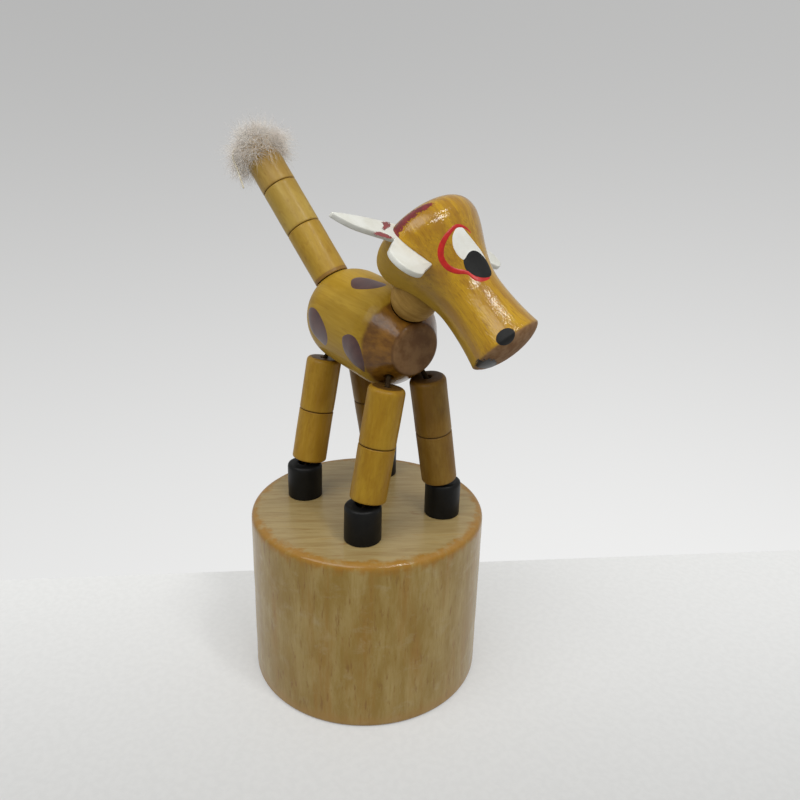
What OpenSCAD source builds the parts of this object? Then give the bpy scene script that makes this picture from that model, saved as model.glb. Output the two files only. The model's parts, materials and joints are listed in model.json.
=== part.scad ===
// Push puppet: a spotted horned animal of turned wooden beads, strung on two threads over a drum base.
// Millimetres, +Z up, +X the way the animal faces, +Y its left. The origin is the centre of the base's foot.

/* [Base] */
// Diameter of the drum base
base_d = 40; // [36:0.5:46]
// Height of the drum base
base_h = 30.6; // [28:0.2:36]
// Radius of the rounded top rim
rim_round = 1.2; // [0.4:0.1:2]
// Radius of the rounded foot edge
foot_round = 0.8; // [0.3:0.1:1.5]
// Diameter of the bore that takes the push button
bore_d = 28; // [27:0.5:30]
// Thickness of the wood left above the bore
ceiling_t = 6.6; // [5:0.2:9]
// Depth of the round pocket in the ceiling that centres the spring
pocket_depth = 1; // [0.5:0.1:2]

/* [Button] */
// Thickness of the push button
button_t = 5; // [4:0.2:6]
// How far the button's face lies up inside the base at rest
button_recess = 5; // [3:0.2:6]
// Travel of the button when it is pressed
button_travel = 9; // [5:0.5:9]
// Gap between the button and its bore
button_gap = 0.3; // [0.2:0.05:0.5]
// Rounding of the button's edges
button_round = 0.8; // [0.3:0.1:1.2]
// Distance of the button's thread holes from its axis
button_hole_r = 10; // [9.5:0.1:11]
// Height of the boss that centres the spring
boss_h = 1.2; // [0.8:0.1:2]

/* [Spring] */
// Diameter of the spring wire
wire_d = 0.8; // [0.5:0.05:1]
// Mean diameter of the spring's coils
coil_d = 12; // [10:0.2:13]
// Number of turns
coil_turns = 4.5; // [3:0.5:6]

/* [Stance] */
// Half the fore-and-aft distance between the hooves
stance_x = 9.3; // [8.5:0.1:10]
// Half the sideways distance between the hooves
stance_y = 8.1; // [7.5:0.1:9]
// Sideways offset of the drilled pattern from the base's axis
figure_y = 0.9; // [0:0.1:1.5]

/* [Hooves] */
// Diameter of a hoof
hoof_d = 6; // [5.6:0.1:7]
// Height of a hoof
hoof_h = 6.2; // [5.6:0.1:8]
// Rounding of a hoof's top rim
hoof_round = 0.6; // [0.2:0.1:1]

/* [Legs] */
// Diameter of the leg beads
leg_d = 5.9; // [5.2:0.1:6.4]
// Length of a lower leg bead
lower_leg_l = 9; // [8:0.1:10]
// Length of an upper leg bead
upper_leg_l = 9; // [8:0.1:10]
// Inward lean of the legs from the vertical, in degrees
leg_lean = 10.4; // [9:0.2:12]
// How far the lower end of a leg sits inside the hoof's centre line
foot_in = 0.9; // [0.5:0.1:1.2]
// Eased edge of the beads
bead_ease = 0.3; // [0.1:0.05:0.5]
// Bore through the beads and hooves
bead_bore = 2.2; // [1.8:0.1:2.4]

/* [Body] */
// Radius of the barrel
barrel_r = 7.9; // [7.4:0.1:8.4]
// Distance from the body's origin back to the centre of the domed rump
rump_x = 6; // [5:0.2:7]
// Distance from the body's origin forward to the start of the rounded shoulder
shoulder_x = 4.6; // [4:0.1:5]
// Radius of the rounded shoulder between barrel and chest cone
shoulder_r = 4.5; // [4:0.1:5]
// Slope of the chest cone to the body's length, in degrees
cone_angle = 37.6; // [35:0.2:40]
// Distance from the body's origin forward to the flat chest disc
chest_x = 11.2; // [10.8:0.1:11.6]
// Rounding of the chest disc's edge
chest_round = 0.3; // [0.2:0.05:0.4]
// Nose-down tilt of the body, in degrees
body_pitch = 3; // [2:0.5:4]
// Bore of the body's holes to the neck and the tail, for two strands
body_bore = 2.4; // [2.2:0.1:2.6]
// Bore of the body's holes to the legs, for one strand
hip_bore = 1.6; // [1.4:0.1:1.8]

/* [Neck] */
// Diameter of the ball bead of the neck
neck_d = 7.2; // [6.6:0.1:7.6]
// Distance from the body's origin forward to the neck's seat on the cone
neck_seat_x = 8.9; // [8.7:0.05:9.1]
// Depth of the neck's seat in the cone
neck_seat_depth = 1.75; // [1.4:0.05:1.9]
// Bore of the thread hole through the neck
neck_bore = 3.4; // [3.2:0.1:3.6]

/* [Head] */
// Length of the head from crown to muzzle
head_l = 23.7; // [23:0.1:25]
// Radius of the skull
skull_r = 8.25; // [7.8:0.05:8.6]
// Distance from the crown to the widest part of the skull
skull_x = 4.1; // [3.6:0.1:4.6]
// Radius of the waist between skull and muzzle
waist_r = 4.85; // [4.4:0.05:5.2]
// Distance from the crown to the waist
waist_x = 15; // [14:0.2:16]
// Radius of the muzzle
muzzle_r = 5.45; // [5.2:0.05:5.8]
// Length of the rounded end of the muzzle
muzzle_end = 1.9; // [1.4:0.1:2.4]
// Distance from the crown back along the head to the neck hole
head_hole_x = 8.7; // [8.3:0.1:9.1]
// Distance from the centre of the neck ball to the head's axis
head_lift = 6.85; // [6.6:0.05:7.2]
// Turn of the head to the animal's left, in degrees
head_yaw = 19.3; // [10:0.5:24]
// Downward slope of the head, in degrees
head_pitch = 43.8; // [40:0.2:48]
// Roll of the head about its own length, in degrees
head_roll = 8.6; // [4:0.2:12]
// Diameter of the peg that jams the threads in the head
plug_d = 2.6; // [2.2:0.1:3]
// Length of that peg
plug_l = 1.6; // [1.2:0.1:2]

/* [Ears and horns] */
// Thickness of the die-cut sheet
sheet_t = 0.8; // [0.5:0.1:1]
// Depth of the saw cut from the crown
kerf_depth = 8.9; // [8.5:0.1:9.4]
// Tilt of the saw cut to the head's length, in degrees
kerf_tilt = 10; // [6:0.5:12]
// How far the sheet is glued off centre, to the head's left
sheet_shift = 0.9; // [0:0.1:1.2]
// Reach of an ear's round end from the middle of the sheet
ear_reach = 12.7; // [12:0.1:13.5]
// Reach of the left ear's round end, which stands out further
ear_reach_left = 14.7; // [13:0.1:15.5]
// Radius of an ear's round end
ear_r = 2.75; // [2.4:0.05:3]
// Reach of a horn's tip from the middle of the sheet
horn_reach = 19.2; // [17:0.1:20]
// Width of a horn's blunt tip
horn_tip_w = 0.6; // [0.4:0.1:1.4]

/* [Tail] */
// Diameter of the tail beads
tail_d = 6; // [5.4:0.1:6.4]
// Length of the tail bead on the rump
tail_root_l = 9.1; // [8:0.1:10]
// Length of the middle tail bead
tail_middle_l = 8.1; // [7:0.1:9]
// Length of the tail bead that carries the tuft
tail_tip_l = 8.6; // [7.6:0.1:9.6]
// Elevation of the tail, in degrees
tail_rise = 51; // [45:1:60]
// Swing of the tail to the animal's right, in degrees
tail_swing = 20; // [10:1:25]
// Radius of the fur tuft
tuft_r = 5.2; // [4.8:0.1:6]
// Diameter of the knot at the tail's tip
knot_d = 2.8; // [2.5:0.1:3.2]

/* [Thread] */
// Diameter of the thread
thread_d = 0.8; // [0.6:0.05:0.9]
// Half the distance between the two strands where they share a hole
strand_gap = 0.48; // [0.46:0.01:0.55]

/* [Hidden] */

$fn = 96;
over = 0.5;            // how far a cutting shape runs past the face that it cuts
rest_gap = 0.1;        // gap under the tilted edge of a bead that stands on a hoof
knee_gap = 0.06;       // gap between two beads of one leg or of the tail
hip_gap = 0.2;         // least gap between the upper legs and the body
tail_gap = 0.2;        // gap between the tail and the rump
seat_gap = 0.2;        // gap between the neck ball and its two seats
kerf_gap = 0.05;       // play of the sheet in the saw cut, on each side
tuft_gap = 0.3;        // gap between the fur tuft and the tail bead inside it
boss_gap = 0.5;        // gap between the spring and the boss or pocket that centres it
spring_seat = 0.05;    // gap between the spring's ends and their seats
groove_gap = 0.15;     // room on each side of a thread in the button's groove
plug_gap = 0.45;       // gap between the plug and the threads that end under it
strand_turn = 1.25;    // how far past the bores' meeting point a front strand turns into its leg

// Small vector functions
function unit(v) = v / norm(v);
function lerp(a, b, s) = a + (b - a) * s;
function turn_x(v, a) = [v.x, v.y * cos(a) - v.z * sin(a), v.y * sin(a) + v.z * cos(a)];
function turn_y(v, a) = [v.x * cos(a) + v.z * sin(a), v.y, v.z * cos(a) - v.x * sin(a)];
function turn_z(v, a) = [v.x * cos(a) - v.y * sin(a), v.x * sin(a) + v.y * cos(a), v.z];

// Base and button heights
ceiling_z = base_h - ceiling_t;
button_top = button_recess + button_t;
spring_low = button_top + spring_seat;
spring_high = ceiling_z + pocket_depth - spring_seat;

// Legs: side is [1, 1] for front left, [-1, -1] for rear right
leg_r = leg_d / 2;
hoof_top = base_h + hoof_h;
foot_z = hoof_top + leg_r * sin(leg_lean) + rest_gap;
leg_stack = lower_leg_l + knee_gap + upper_leg_l;
hip_z = foot_z + leg_stack * cos(leg_lean);
hip_y = stance_y - foot_in - leg_stack * sin(leg_lean);
function leg_dir(side) = [0, -side.y * sin(leg_lean), cos(leg_lean)];
function hoof_at(side) = [side.x * stance_x, figure_y + side.y * stance_y, base_h];
function foot_at(side) = [side.x * stance_x, figure_y + side.y * (stance_y - foot_in), foot_z];
function hip_at(side) = foot_at(side) + leg_dir(side) * leg_stack;
front_right = [1, -1];
front_left = [1, 1];
rear_right = [-1, -1];
rear_left = [-1, 1];

// Body: its height follows from the hips, which the rump rests on
rump_drop = (barrel_r + hip_gap - hip_y * sin(leg_lean)) / cos(leg_lean);
body_at = [0, figure_y, hip_z + rump_drop - rump_x * sin(body_pitch)];
cone_x = shoulder_x + shoulder_r * sin(cone_angle);
cone_start_r = barrel_r - shoulder_r * (1 - cos(cone_angle));
function cone_r(x) = cone_start_r - (x - cone_x) * tan(cone_angle);
chest_r = cone_r(chest_x);
function body_point(p) = body_at + turn_y(p, body_pitch);
rump_at = body_point([-rump_x, 0, 0]);

// Neck: the ball sits in a seat on the upper side of the chest cone
neck_r = neck_d / 2;
seat_dir = turn_y([sin(cone_angle), 0, cos(cone_angle)], body_pitch);
seat_at = body_point([neck_seat_x, 0, cone_r(neck_seat_x)]);
ball_at = seat_at + seat_dir * (neck_r - neck_seat_depth);

// Head: its own frame has X along the head to the muzzle, Z away from the neck ball, origin in the ball
function head_vector(v) = turn_z(turn_y(turn_x(v, -head_roll), head_pitch), head_yaw);
function head_point(p) = ball_at + head_vector(p);
head_up = head_vector([0, 0, 1]);
neck_dir = unit(seat_dir + head_up);
kerf_at = [skull_x + 1 - head_hole_x, 0, head_lift];
plug_top = head_lift - kerf_gap - sheet_t / 2 - 0.9;
plug_low = plug_top - plug_l;

// Tail: it stands square on the domed rump
tail_r = tail_d / 2;
tail_dir = [-cos(tail_rise) * cos(tail_swing), -cos(tail_rise) * sin(tail_swing), sin(tail_rise)];
tail_at = rump_at + tail_dir * (barrel_r + tail_gap);
tail_middle_at = tail_at + tail_dir * (tail_root_l + knee_gap);
tail_tip_at = tail_middle_at + tail_dir * (tail_middle_l + knee_gap);
tail_end = tail_tip_at + tail_dir * tail_tip_l;
tuft_at = tail_end - tail_dir * 0.8;
knot_at = tail_end + tail_dir * (knot_d / 2 + knee_gap);

// Where the bores meet inside the body, and the radius of the hollow there
front_meet_r = 1.8;
rear_meet_r = 2.1;
front_meet = seat_at - seat_dir * 5;
rear_meet = rump_at;

// Button thread holes lie on the lines from the axis to the holes in the ceiling
function button_hole(side) = unit([hoof_at(side).x, hoof_at(side).y]) * button_hole_r;

// Children are turned so that their Z runs along dir, and moved to p
module along(p, dir) {
    translate(p)
        rotate([0, acos(dir.z / norm(dir)), atan2(dir.y, dir.x)])
            children();
}

module bore_between(a, b, d) {
    along(a, b - a) cylinder(d = d, h = norm(b - a));
}

// Points of a quarter arc from angle a to angle b about c
function arc(c, r, a, b, steps = 8) = [for (i = [0 : steps]) c + r * [cos(lerp(a, b, i / steps)), sin(lerp(a, b, i / steps))]];

module bead(d, l, bore, ease) {
    rotate_extrude()
        polygon([[bore / 2, 0], [d / 2 - ease, 0], [d / 2, ease],
                 [d / 2, l - ease], [d / 2 - ease, l], [bore / 2, l]]);
}

module in_head() {
    translate(ball_at) rotate([0, 0, head_yaw]) rotate([0, head_pitch, 0]) rotate([-head_roll, 0, 0])
        children();
}

// A closed tube of the given sides along the points of a route
module tube(route, d, sides) {
    last = len(route) - 1;
    function heading(i) = unit(route[min(i + 1, last)] - route[max(i - 1, 0)]);
    function across(i) = unit(cross(heading(i), [1, 0, 0.02]));
    function above(i) = cross(across(i), heading(i));
    function ring(i) = [for (k = [0 : sides - 1])
        route[i] + d / 2 * (across(i) * cos(360 * k / sides) + above(i) * sin(360 * k / sides))];
    points = [for (i = [0 : last]) each ring(i)];
    walls = [for (i = [0 : last - 1], k = [0 : sides - 1])
        let (a = i * sides + k, b = i * sides + (k + 1) % sides)
        each [[a, a + sides, b], [b, a + sides, b + sides]]];
    first_cap = [for (k = [1 : sides - 2]) [0, k, k + 1]];
    last_cap = [for (k = [1 : sides - 2]) [last * sides, last * sides + k + 1, last * sides + k]];
    polyhedron(points, concat(walls, first_cap, last_cap));
}

module base_drum() {
    r = base_d / 2;
    pocket_r = coil_d / 2 + wire_d / 2 + boss_gap;
    color("burlywood") difference() {
        rotate_extrude()
            polygon(concat([[bore_d / 2, 0]],
                           arc([r - foot_round, foot_round], foot_round, -90, 0),
                           arc([r - rim_round, base_h - rim_round], rim_round, 0, 90),
                           [[0, base_h], [0, ceiling_z], [bore_d / 2, ceiling_z]]));
        translate([0, 0, ceiling_z - over]) cylinder(r = pocket_r, h = pocket_depth + over);
        for (side = [front_right, front_left, rear_right, rear_left])
            translate([hoof_at(side).x, hoof_at(side).y, ceiling_z - over])
                cylinder(d = bead_bore, h = ceiling_t + 2 * over);
    }
}

module push_button() {
    r = bore_d / 2 - button_gap;
    boss_r = coil_d / 2 - wire_d / 2 - boss_gap;
    groove_w = thread_d + 2 * groove_gap;
    color("tan") difference() {
        translate([0, 0, button_recess]) rotate_extrude()
            polygon(concat([[0, 0]],
                           arc([r - button_round, button_round], button_round, -90, 0),
                           arc([r - button_round, button_t - button_round], button_round, 0, 90),
                           [[boss_r, button_t], [boss_r, button_t + boss_h], [0, button_t + boss_h]]));
        for (side = [front_right, front_left, rear_right, rear_left])
            translate([button_hole(side).x, button_hole(side).y, button_recess - over])
                cylinder(d = groove_w, h = button_t + 2 * over);
        for (end = [1, -1]) {
            right = button_hole([end, -1]);
            left = button_hole([end, 1]);
            bore_between([right.x, right.y, button_recess + thread_d / 2],
                         [left.x, left.y, button_recess + thread_d / 2], groove_w);
        }
    }
}

// The coil climbs steadily from the button to the ceiling
coil_rise = (spring_high - spring_low - wire_d) / coil_turns;
coil_rings = 8 * coil_turns;
coil_route = [for (i = [0 : coil_rings])
    [coil_d / 2 * cos(45 * i), coil_d / 2 * sin(45 * i), spring_low + wire_d / 2 + coil_rise * i / 8]];
coil_self_gap = min([for (i = [0 : coil_rings - 8]) norm(coil_route[i + 8] - coil_route[i])]) - wire_d;
echo(spring_least_gap_to_itself = coil_self_gap);

module return_spring() {
    sides = 6;
    last = len(coil_route) - 1;
    points = [for (i = [0 : last], k = [0 : sides - 1])
        let (outward = [cos(45 * i), sin(45 * i), 0], a = 360 * k / sides)
        coil_route[i] + wire_d / 2 * (outward * cos(a) + [0, 0, sin(a)])];
    walls = [for (i = [0 : last - 1], k = [0 : sides - 1])
        let (a = i * sides + k, b = i * sides + (k + 1) % sides)
        each [[a, b, a + sides], [b, b + sides, a + sides]]];
    first_cap = [for (k = [1 : sides - 2]) [0, k + 1, k]];
    last_cap = [for (k = [1 : sides - 2]) [last * sides, last * sides + k, last * sides + k + 1]];
    color("silver") polyhedron(points, concat(walls, first_cap, last_cap));
}

// Route of one thread down one leg, from the body to the middle of the button's underside
function leg_route(side) =
    let (hole = button_hole(side), low = button_recess + thread_d / 2, inside = hoof_at(side))
    [hip_at(side),
     foot_at(side) + leg_dir(side) * (upper_leg_l + lower_leg_l) / 2,
     foot_at(side) + leg_dir(side) * thread_d,
     [inside.x, lerp(inside.y, foot_at(side).y, 0.3), hoof_top - thread_d],
     [inside.x, inside.y, base_h],
     [inside.x, inside.y, ceiling_z],
     [hole.x, hole.y, button_top],
     [hole.x, hole.y, low + thread_d],
     [hole.x, hole.y - side.y * 0.25 * thread_d, low + 0.25 * thread_d],
     [hole.x, hole.y - side.y * thread_d, low]];

function reversed(list) = [for (i = [len(list) - 1 : -1 : 0]) list[i]];

// The front thread hangs from the head and runs through the neck, the body and both front legs
function front_strand(s) = [
    head_point([0, s * strand_gap, plug_low - plug_gap]),
    ball_at + neck_dir * neck_r * 0.85 + [0, s * strand_gap, 0],
    ball_at - neck_dir * neck_r * 0.85 + [0, s * strand_gap, 0],
    seat_at - seat_dir * 1.5 + [0, s * strand_gap, 0],
    front_meet + unit(hip_at([1, s]) - front_meet) * strand_turn];

module front_thread() {
    color("ivory")
        tube(concat(front_strand(-1), leg_route(front_right),
                    reversed(leg_route(front_left)), reversed(front_strand(1))), thread_d, 8);
}

// The rear thread hangs from the knot and runs through the tail, the body and both rear legs
function rear_strand(s) = [
    tail_end + tail_dir * knee_gap / 2 + [0, s * strand_gap, 0],
    tail_at + [0, s * strand_gap, 0],
    rear_meet + [0, s * strand_gap, 0.3]];

module rear_thread() {
    color("ivory")
        tube(concat(rear_strand(-1), leg_route(rear_right),
                    reversed(leg_route(rear_left)), reversed(rear_strand(1))), thread_d, 8);
}

module hoof(side) {
    color("#1c1b1c") translate(hoof_at(side)) rotate_extrude()
        polygon(concat([[bead_bore / 2, 0], [hoof_d / 2, 0]],
                       arc([hoof_d / 2 - hoof_round, hoof_h - hoof_round], hoof_round, 0, 90),
                       [[bead_bore / 2, hoof_h]]));
}

module lower_leg(side) {
    color("goldenrod") along(foot_at(side), leg_dir(side)) bead(leg_d, lower_leg_l, bead_bore, bead_ease);
}

module upper_leg(side) {
    knee = foot_at(side) + leg_dir(side) * (lower_leg_l + knee_gap);
    color("goldenrod") along(knee, leg_dir(side)) bead(leg_d, upper_leg_l, bead_bore, bead_ease);
}

module barrel_body() {
    color("darkgoldenrod") difference() {
        translate(body_at) rotate([0, body_pitch, 0]) rotate([0, 90, 0]) rotate_extrude()
            polygon(concat(arc([0, -rump_x], barrel_r, -90, 0, 24),
                           arc([barrel_r - shoulder_r, shoulder_x], shoulder_r, 0, cone_angle, 12),
                           [[cone_r(chest_x - chest_round), chest_x - chest_round]],
                           [[chest_r - chest_round, chest_x], [0, chest_x]]));
        translate(ball_at) sphere(r = neck_r + seat_gap);
        bore_between(ball_at, front_meet, body_bore);
        bore_between(tail_at, rear_meet, body_bore);
        for (s = [1, -1]) {
            bore_between(hip_at([1, s]), front_meet, hip_bore);
            bore_between(hip_at([-1, s]), rear_meet, hip_bore);
        }
        translate(front_meet) sphere(r = front_meet_r);
        translate(rear_meet) sphere(r = rear_meet_r);
    }
}

module neck_ball() {
    color("wheat") difference() {
        translate(ball_at) sphere(d = neck_d);
        bore_between(ball_at - neck_dir * neck_d, ball_at + neck_dir * neck_d, neck_bore);
    }
}

// Radius of the head at a distance from the crown: a full crown, a soft fall to the waist, a flared muzzle
crown_fullness = 2.6;
muzzle_fullness = 2.8;
fall_power = 0.8;
muzzle_x = head_l - muzzle_end;
function crown_r(x) = skull_r * (1 - (1 - x / skull_x) ^ crown_fullness) ^ (1 / crown_fullness);
function fall_r(x) =
    waist_r + (skull_r - waist_r) * (1 + cos(180 * ((x - skull_x) / (waist_x - skull_x)) ^ fall_power)) / 2;
function flare_r(x) = waist_r + (muzzle_r - waist_r) * (1 - cos(180 * (x - waist_x) / (muzzle_x - waist_x))) / 2;
function end_r(x) = muzzle_r * (1 - ((x - muzzle_x) / muzzle_end) ^ muzzle_fullness) ^ (1 / muzzle_fullness);
head_outline = concat(
    [for (i = [0 : 9]) let (x = skull_x * (i / 10) ^ 2) [crown_r(x), x]],
    [for (i = [0 : 11]) let (x = lerp(skull_x, waist_x, i / 12)) [fall_r(x), x]],
    [for (i = [0 : 5]) let (x = lerp(waist_x, muzzle_x, i / 6)) [flare_r(x), x]],
    [for (i = [0 : 8]) let (x = head_l - muzzle_end * (1 - i / 8) ^ 2) [end_r(x), x]]);

module head() {
    kerf_w = sheet_t + 2 * kerf_gap;
    color("goldenrod") difference() {
        in_head() difference() {
            translate([-head_hole_x, 0, head_lift]) rotate([0, 90, 0]) rotate_extrude() polygon(head_outline);
            translate(kerf_at) rotate([0, -kerf_tilt, 0])
                translate([kerf_depth - skull_x - 1 - head_l, -head_l / 2, -kerf_w / 2]) cube([head_l, head_l, kerf_w]);
            cylinder(d = plug_d, h = plug_top);
        }
        translate(ball_at) sphere(r = neck_r + seat_gap);
    }
}

module head_plug() {
    color("wheat") in_head() translate([0, 0, plug_low]) cylinder(d = plug_d, h = plug_l);
}

// Half of the sheet's outline: X along the head from the crown, Y outwards from the middle of the sheet
horn_back = 1.9;
horn_root = [0.6, 4.2];
fork = [3.3, 10.1];
ear_x = 7.6;
ear_root = [kerf_depth - 0.9, 6.8];
function sheet_half(reach) = concat(
    [for (i = [0 : 8]) let (v = i / 8)
        [lerp(horn_root.x, 0, v) - horn_back * sin(90 * v), lerp(horn_root.y, horn_reach, v)]],
    [for (i = [8 : -1 : 0]) let (v = i / 8)
        [fork.x * (1 - v) - horn_back * v ^ 8 + (v == 1 ? horn_tip_w : 0), lerp(fork.y, horn_reach, v)]],
    arc([ear_x, reach], ear_r, 160, -60, 18),
    [ear_root]);

module horns_and_ears() {
    color("whitesmoke") in_head() translate(kerf_at) rotate([0, -kerf_tilt, 0])
        translate([-skull_x - 1, sheet_shift, -sheet_t / 2]) linear_extrude(sheet_t)
            polygon(concat(sheet_half(ear_reach_left), [for (p = reversed(sheet_half(ear_reach))) [p.x, -p.y]]));
}

module tail_bead(p, l) {
    color("goldenrod") along(p, tail_dir) bead(tail_d, l, bead_bore, bead_ease);
}

module tail_knot() {
    color("ivory") translate(knot_at) sphere(d = knot_d);
}

module tail_tuft() {
    color("rosybrown") difference() {
        translate(tuft_at) sphere(r = tuft_r);
        along(tail_end - tail_dir * 2 * tuft_r, tail_dir) cylinder(r = tail_r + tuft_gap, h = 2 * tuft_r + tuft_gap);
        translate(knot_at) sphere(r = knot_d / 2 + tuft_gap);
    }
}

base_drum();
push_button();
return_spring();
front_thread();
rear_thread();
hoof(front_right);  // front_right_hoof
hoof(front_left);  // front_left_hoof
hoof(rear_right);  // rear_right_hoof
hoof(rear_left);  // rear_left_hoof
lower_leg(front_right);  // front_right_lower_leg
lower_leg(front_left);  // front_left_lower_leg
lower_leg(rear_right);  // rear_right_lower_leg
lower_leg(rear_left);  // rear_left_lower_leg
upper_leg(front_right);  // front_right_upper_leg
upper_leg(front_left);  // front_left_upper_leg
upper_leg(rear_right);  // rear_right_upper_leg
upper_leg(rear_left);  // rear_left_upper_leg
barrel_body();
neck_ball();
head();
head_plug();
horns_and_ears();
tail_bead(tail_at, tail_root_l);  // tail_root_bead
tail_bead(tail_middle_at, tail_middle_l);  // tail_middle_bead
tail_bead(tail_tip_at, tail_tip_l);  // tail_tip_bead
tail_knot();
tail_tuft();
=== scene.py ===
import json
import math
import random
import bmesh
import bpy
from mathutils import Matrix, Vector, noise

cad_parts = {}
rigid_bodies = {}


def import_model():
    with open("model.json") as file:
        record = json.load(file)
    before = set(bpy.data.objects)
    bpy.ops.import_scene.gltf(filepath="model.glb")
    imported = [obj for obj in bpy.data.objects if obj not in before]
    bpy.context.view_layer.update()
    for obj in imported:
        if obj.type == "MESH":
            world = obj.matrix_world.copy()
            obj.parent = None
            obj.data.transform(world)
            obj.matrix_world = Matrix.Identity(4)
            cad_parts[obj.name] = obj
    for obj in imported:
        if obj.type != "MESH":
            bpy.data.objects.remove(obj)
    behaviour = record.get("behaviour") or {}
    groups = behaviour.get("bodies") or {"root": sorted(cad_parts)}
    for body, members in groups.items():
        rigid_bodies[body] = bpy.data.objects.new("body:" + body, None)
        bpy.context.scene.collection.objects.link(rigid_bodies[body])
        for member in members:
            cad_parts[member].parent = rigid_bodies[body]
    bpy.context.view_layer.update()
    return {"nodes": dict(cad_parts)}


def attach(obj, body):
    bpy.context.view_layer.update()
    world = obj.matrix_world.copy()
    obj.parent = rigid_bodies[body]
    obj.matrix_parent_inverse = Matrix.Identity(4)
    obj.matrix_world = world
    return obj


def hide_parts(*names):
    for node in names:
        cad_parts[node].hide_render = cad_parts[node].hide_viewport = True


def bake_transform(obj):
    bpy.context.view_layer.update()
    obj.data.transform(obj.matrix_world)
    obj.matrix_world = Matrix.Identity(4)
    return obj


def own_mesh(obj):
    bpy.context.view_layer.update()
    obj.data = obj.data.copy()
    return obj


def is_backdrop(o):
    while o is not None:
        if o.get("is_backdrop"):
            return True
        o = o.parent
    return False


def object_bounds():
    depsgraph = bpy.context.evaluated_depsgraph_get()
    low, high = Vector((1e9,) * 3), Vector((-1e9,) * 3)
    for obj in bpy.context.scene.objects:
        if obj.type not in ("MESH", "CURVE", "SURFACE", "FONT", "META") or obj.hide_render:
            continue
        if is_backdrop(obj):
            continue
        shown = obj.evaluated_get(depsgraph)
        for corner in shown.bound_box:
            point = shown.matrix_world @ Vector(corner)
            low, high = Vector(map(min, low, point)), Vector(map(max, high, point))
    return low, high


for leftover in list(bpy.data.objects):
    bpy.data.objects.remove(leftover)

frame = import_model()
print("frame loaded with", len(frame["nodes"]), "nodes")

# All sizes below are in millimetres and degrees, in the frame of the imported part
mm = 0.001
forward, leftward, upright = Vector((1, 0, 0)), Vector((0, 1, 0)), Vector((0, 0, 1))
sides = {"frontRight": (1, -1), "frontLeft": (1, 1), "rearRight": (-1, -1), "rearLeft": (-1, 1)}


def cadName(name):
    return "".join("_" + c.lower() if c.isupper() else c for c in name)


def turn(axis, degrees):
    return Matrix.Rotation(math.radians(degrees), 3, axis)


def placed(origin, along, side):
    # A frame with Z along a piece and X towards the given side
    z = along.normalized()
    x = (side - z * side.dot(z)).normalized()
    matrix = Matrix((x, z.cross(x), z)).transposed().to_4x4()
    matrix.translation = origin * mm
    return matrix


def mix(a, b, t):
    return a + (b - a) * t


# Mesh helpers
def addMesh(name, verts, faces, material, matrix=None, smooth=True):
    mesh = bpy.data.meshes.new(name)
    mesh.from_pydata([Vector(v) * mm for v in verts], [], faces)
    mesh.materials.append(material)
    mesh.polygons.foreach_set("use_smooth", [smooth] * len(mesh.polygons))
    mesh.update()
    obj = bpy.data.objects.new(name, mesh)
    bpy.context.scene.collection.objects.link(obj)
    if matrix is not None:
        obj.matrix_world = matrix
    return obj


def eased(corners, step=0.8):
    # Corners are (radius, height, rounding); straight runs are divided so that shading stays even
    count = len(corners)
    rounded = []
    for i, (r, z, ease) in enumerate(corners):
        here = Vector((r, z))
        if ease == 0 or i in (0, count - 1):
            rounded.append([here])
            continue
        before = (Vector(corners[i - 1][:2]) - here).normalized() * ease
        after = (Vector(corners[i + 1][:2]) - here).normalized() * ease
        arc = []
        for k in range(9):
            t = k / 8
            arc.append(here + before * (1 - t) ** 2 + after * t ** 2)
        rounded.append(arc)
    outline = []
    for arc in rounded:
        if outline:
            gap = arc[0] - outline[-1]
            pieces = max(1, math.ceil(gap.length / step))
            outline += [outline[-1] + gap * (k / pieces) for k in range(1, pieces)]
        outline += arc
    return [(p.x, p.y) for p in outline]


def lathe(name, profile, matrix, material, segments=96, closed=False, wobble=0.0, seed=0.0):
    verts, rings = [], []
    for r, z in profile:
        first = len(verts)
        if r < 1e-5:
            verts.append((0, 0, z))
            rings.append([first])
            continue
        for k in range(segments):
            a = 2 * math.pi * k / segments
            dent = wobble * noise.noise((1.5 * math.cos(a) + seed, 1.5 * math.sin(a), 0.3 * z))
            verts.append(((r + dent) * math.cos(a), (r + dent) * math.sin(a), z))
        rings.append(list(range(first, first + segments)))
    faces = []
    pairs = list(zip(rings, rings[1:]))
    if closed:
        pairs.append((rings[-1], rings[0]))
    for low, high in pairs:
        for k in range(segments):
            n = (k + 1) % segments
            if len(low) == 1 and len(high) == 1:
                continue
            if len(low) == 1:
                faces.append((low[0], high[n], high[k]))
            elif len(high) == 1:
                faces.append((low[k], low[n], high[0]))
            else:
                faces.append((low[k], low[n], high[n], high[k]))
    return addMesh(name, verts, faces, material, matrix)


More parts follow.
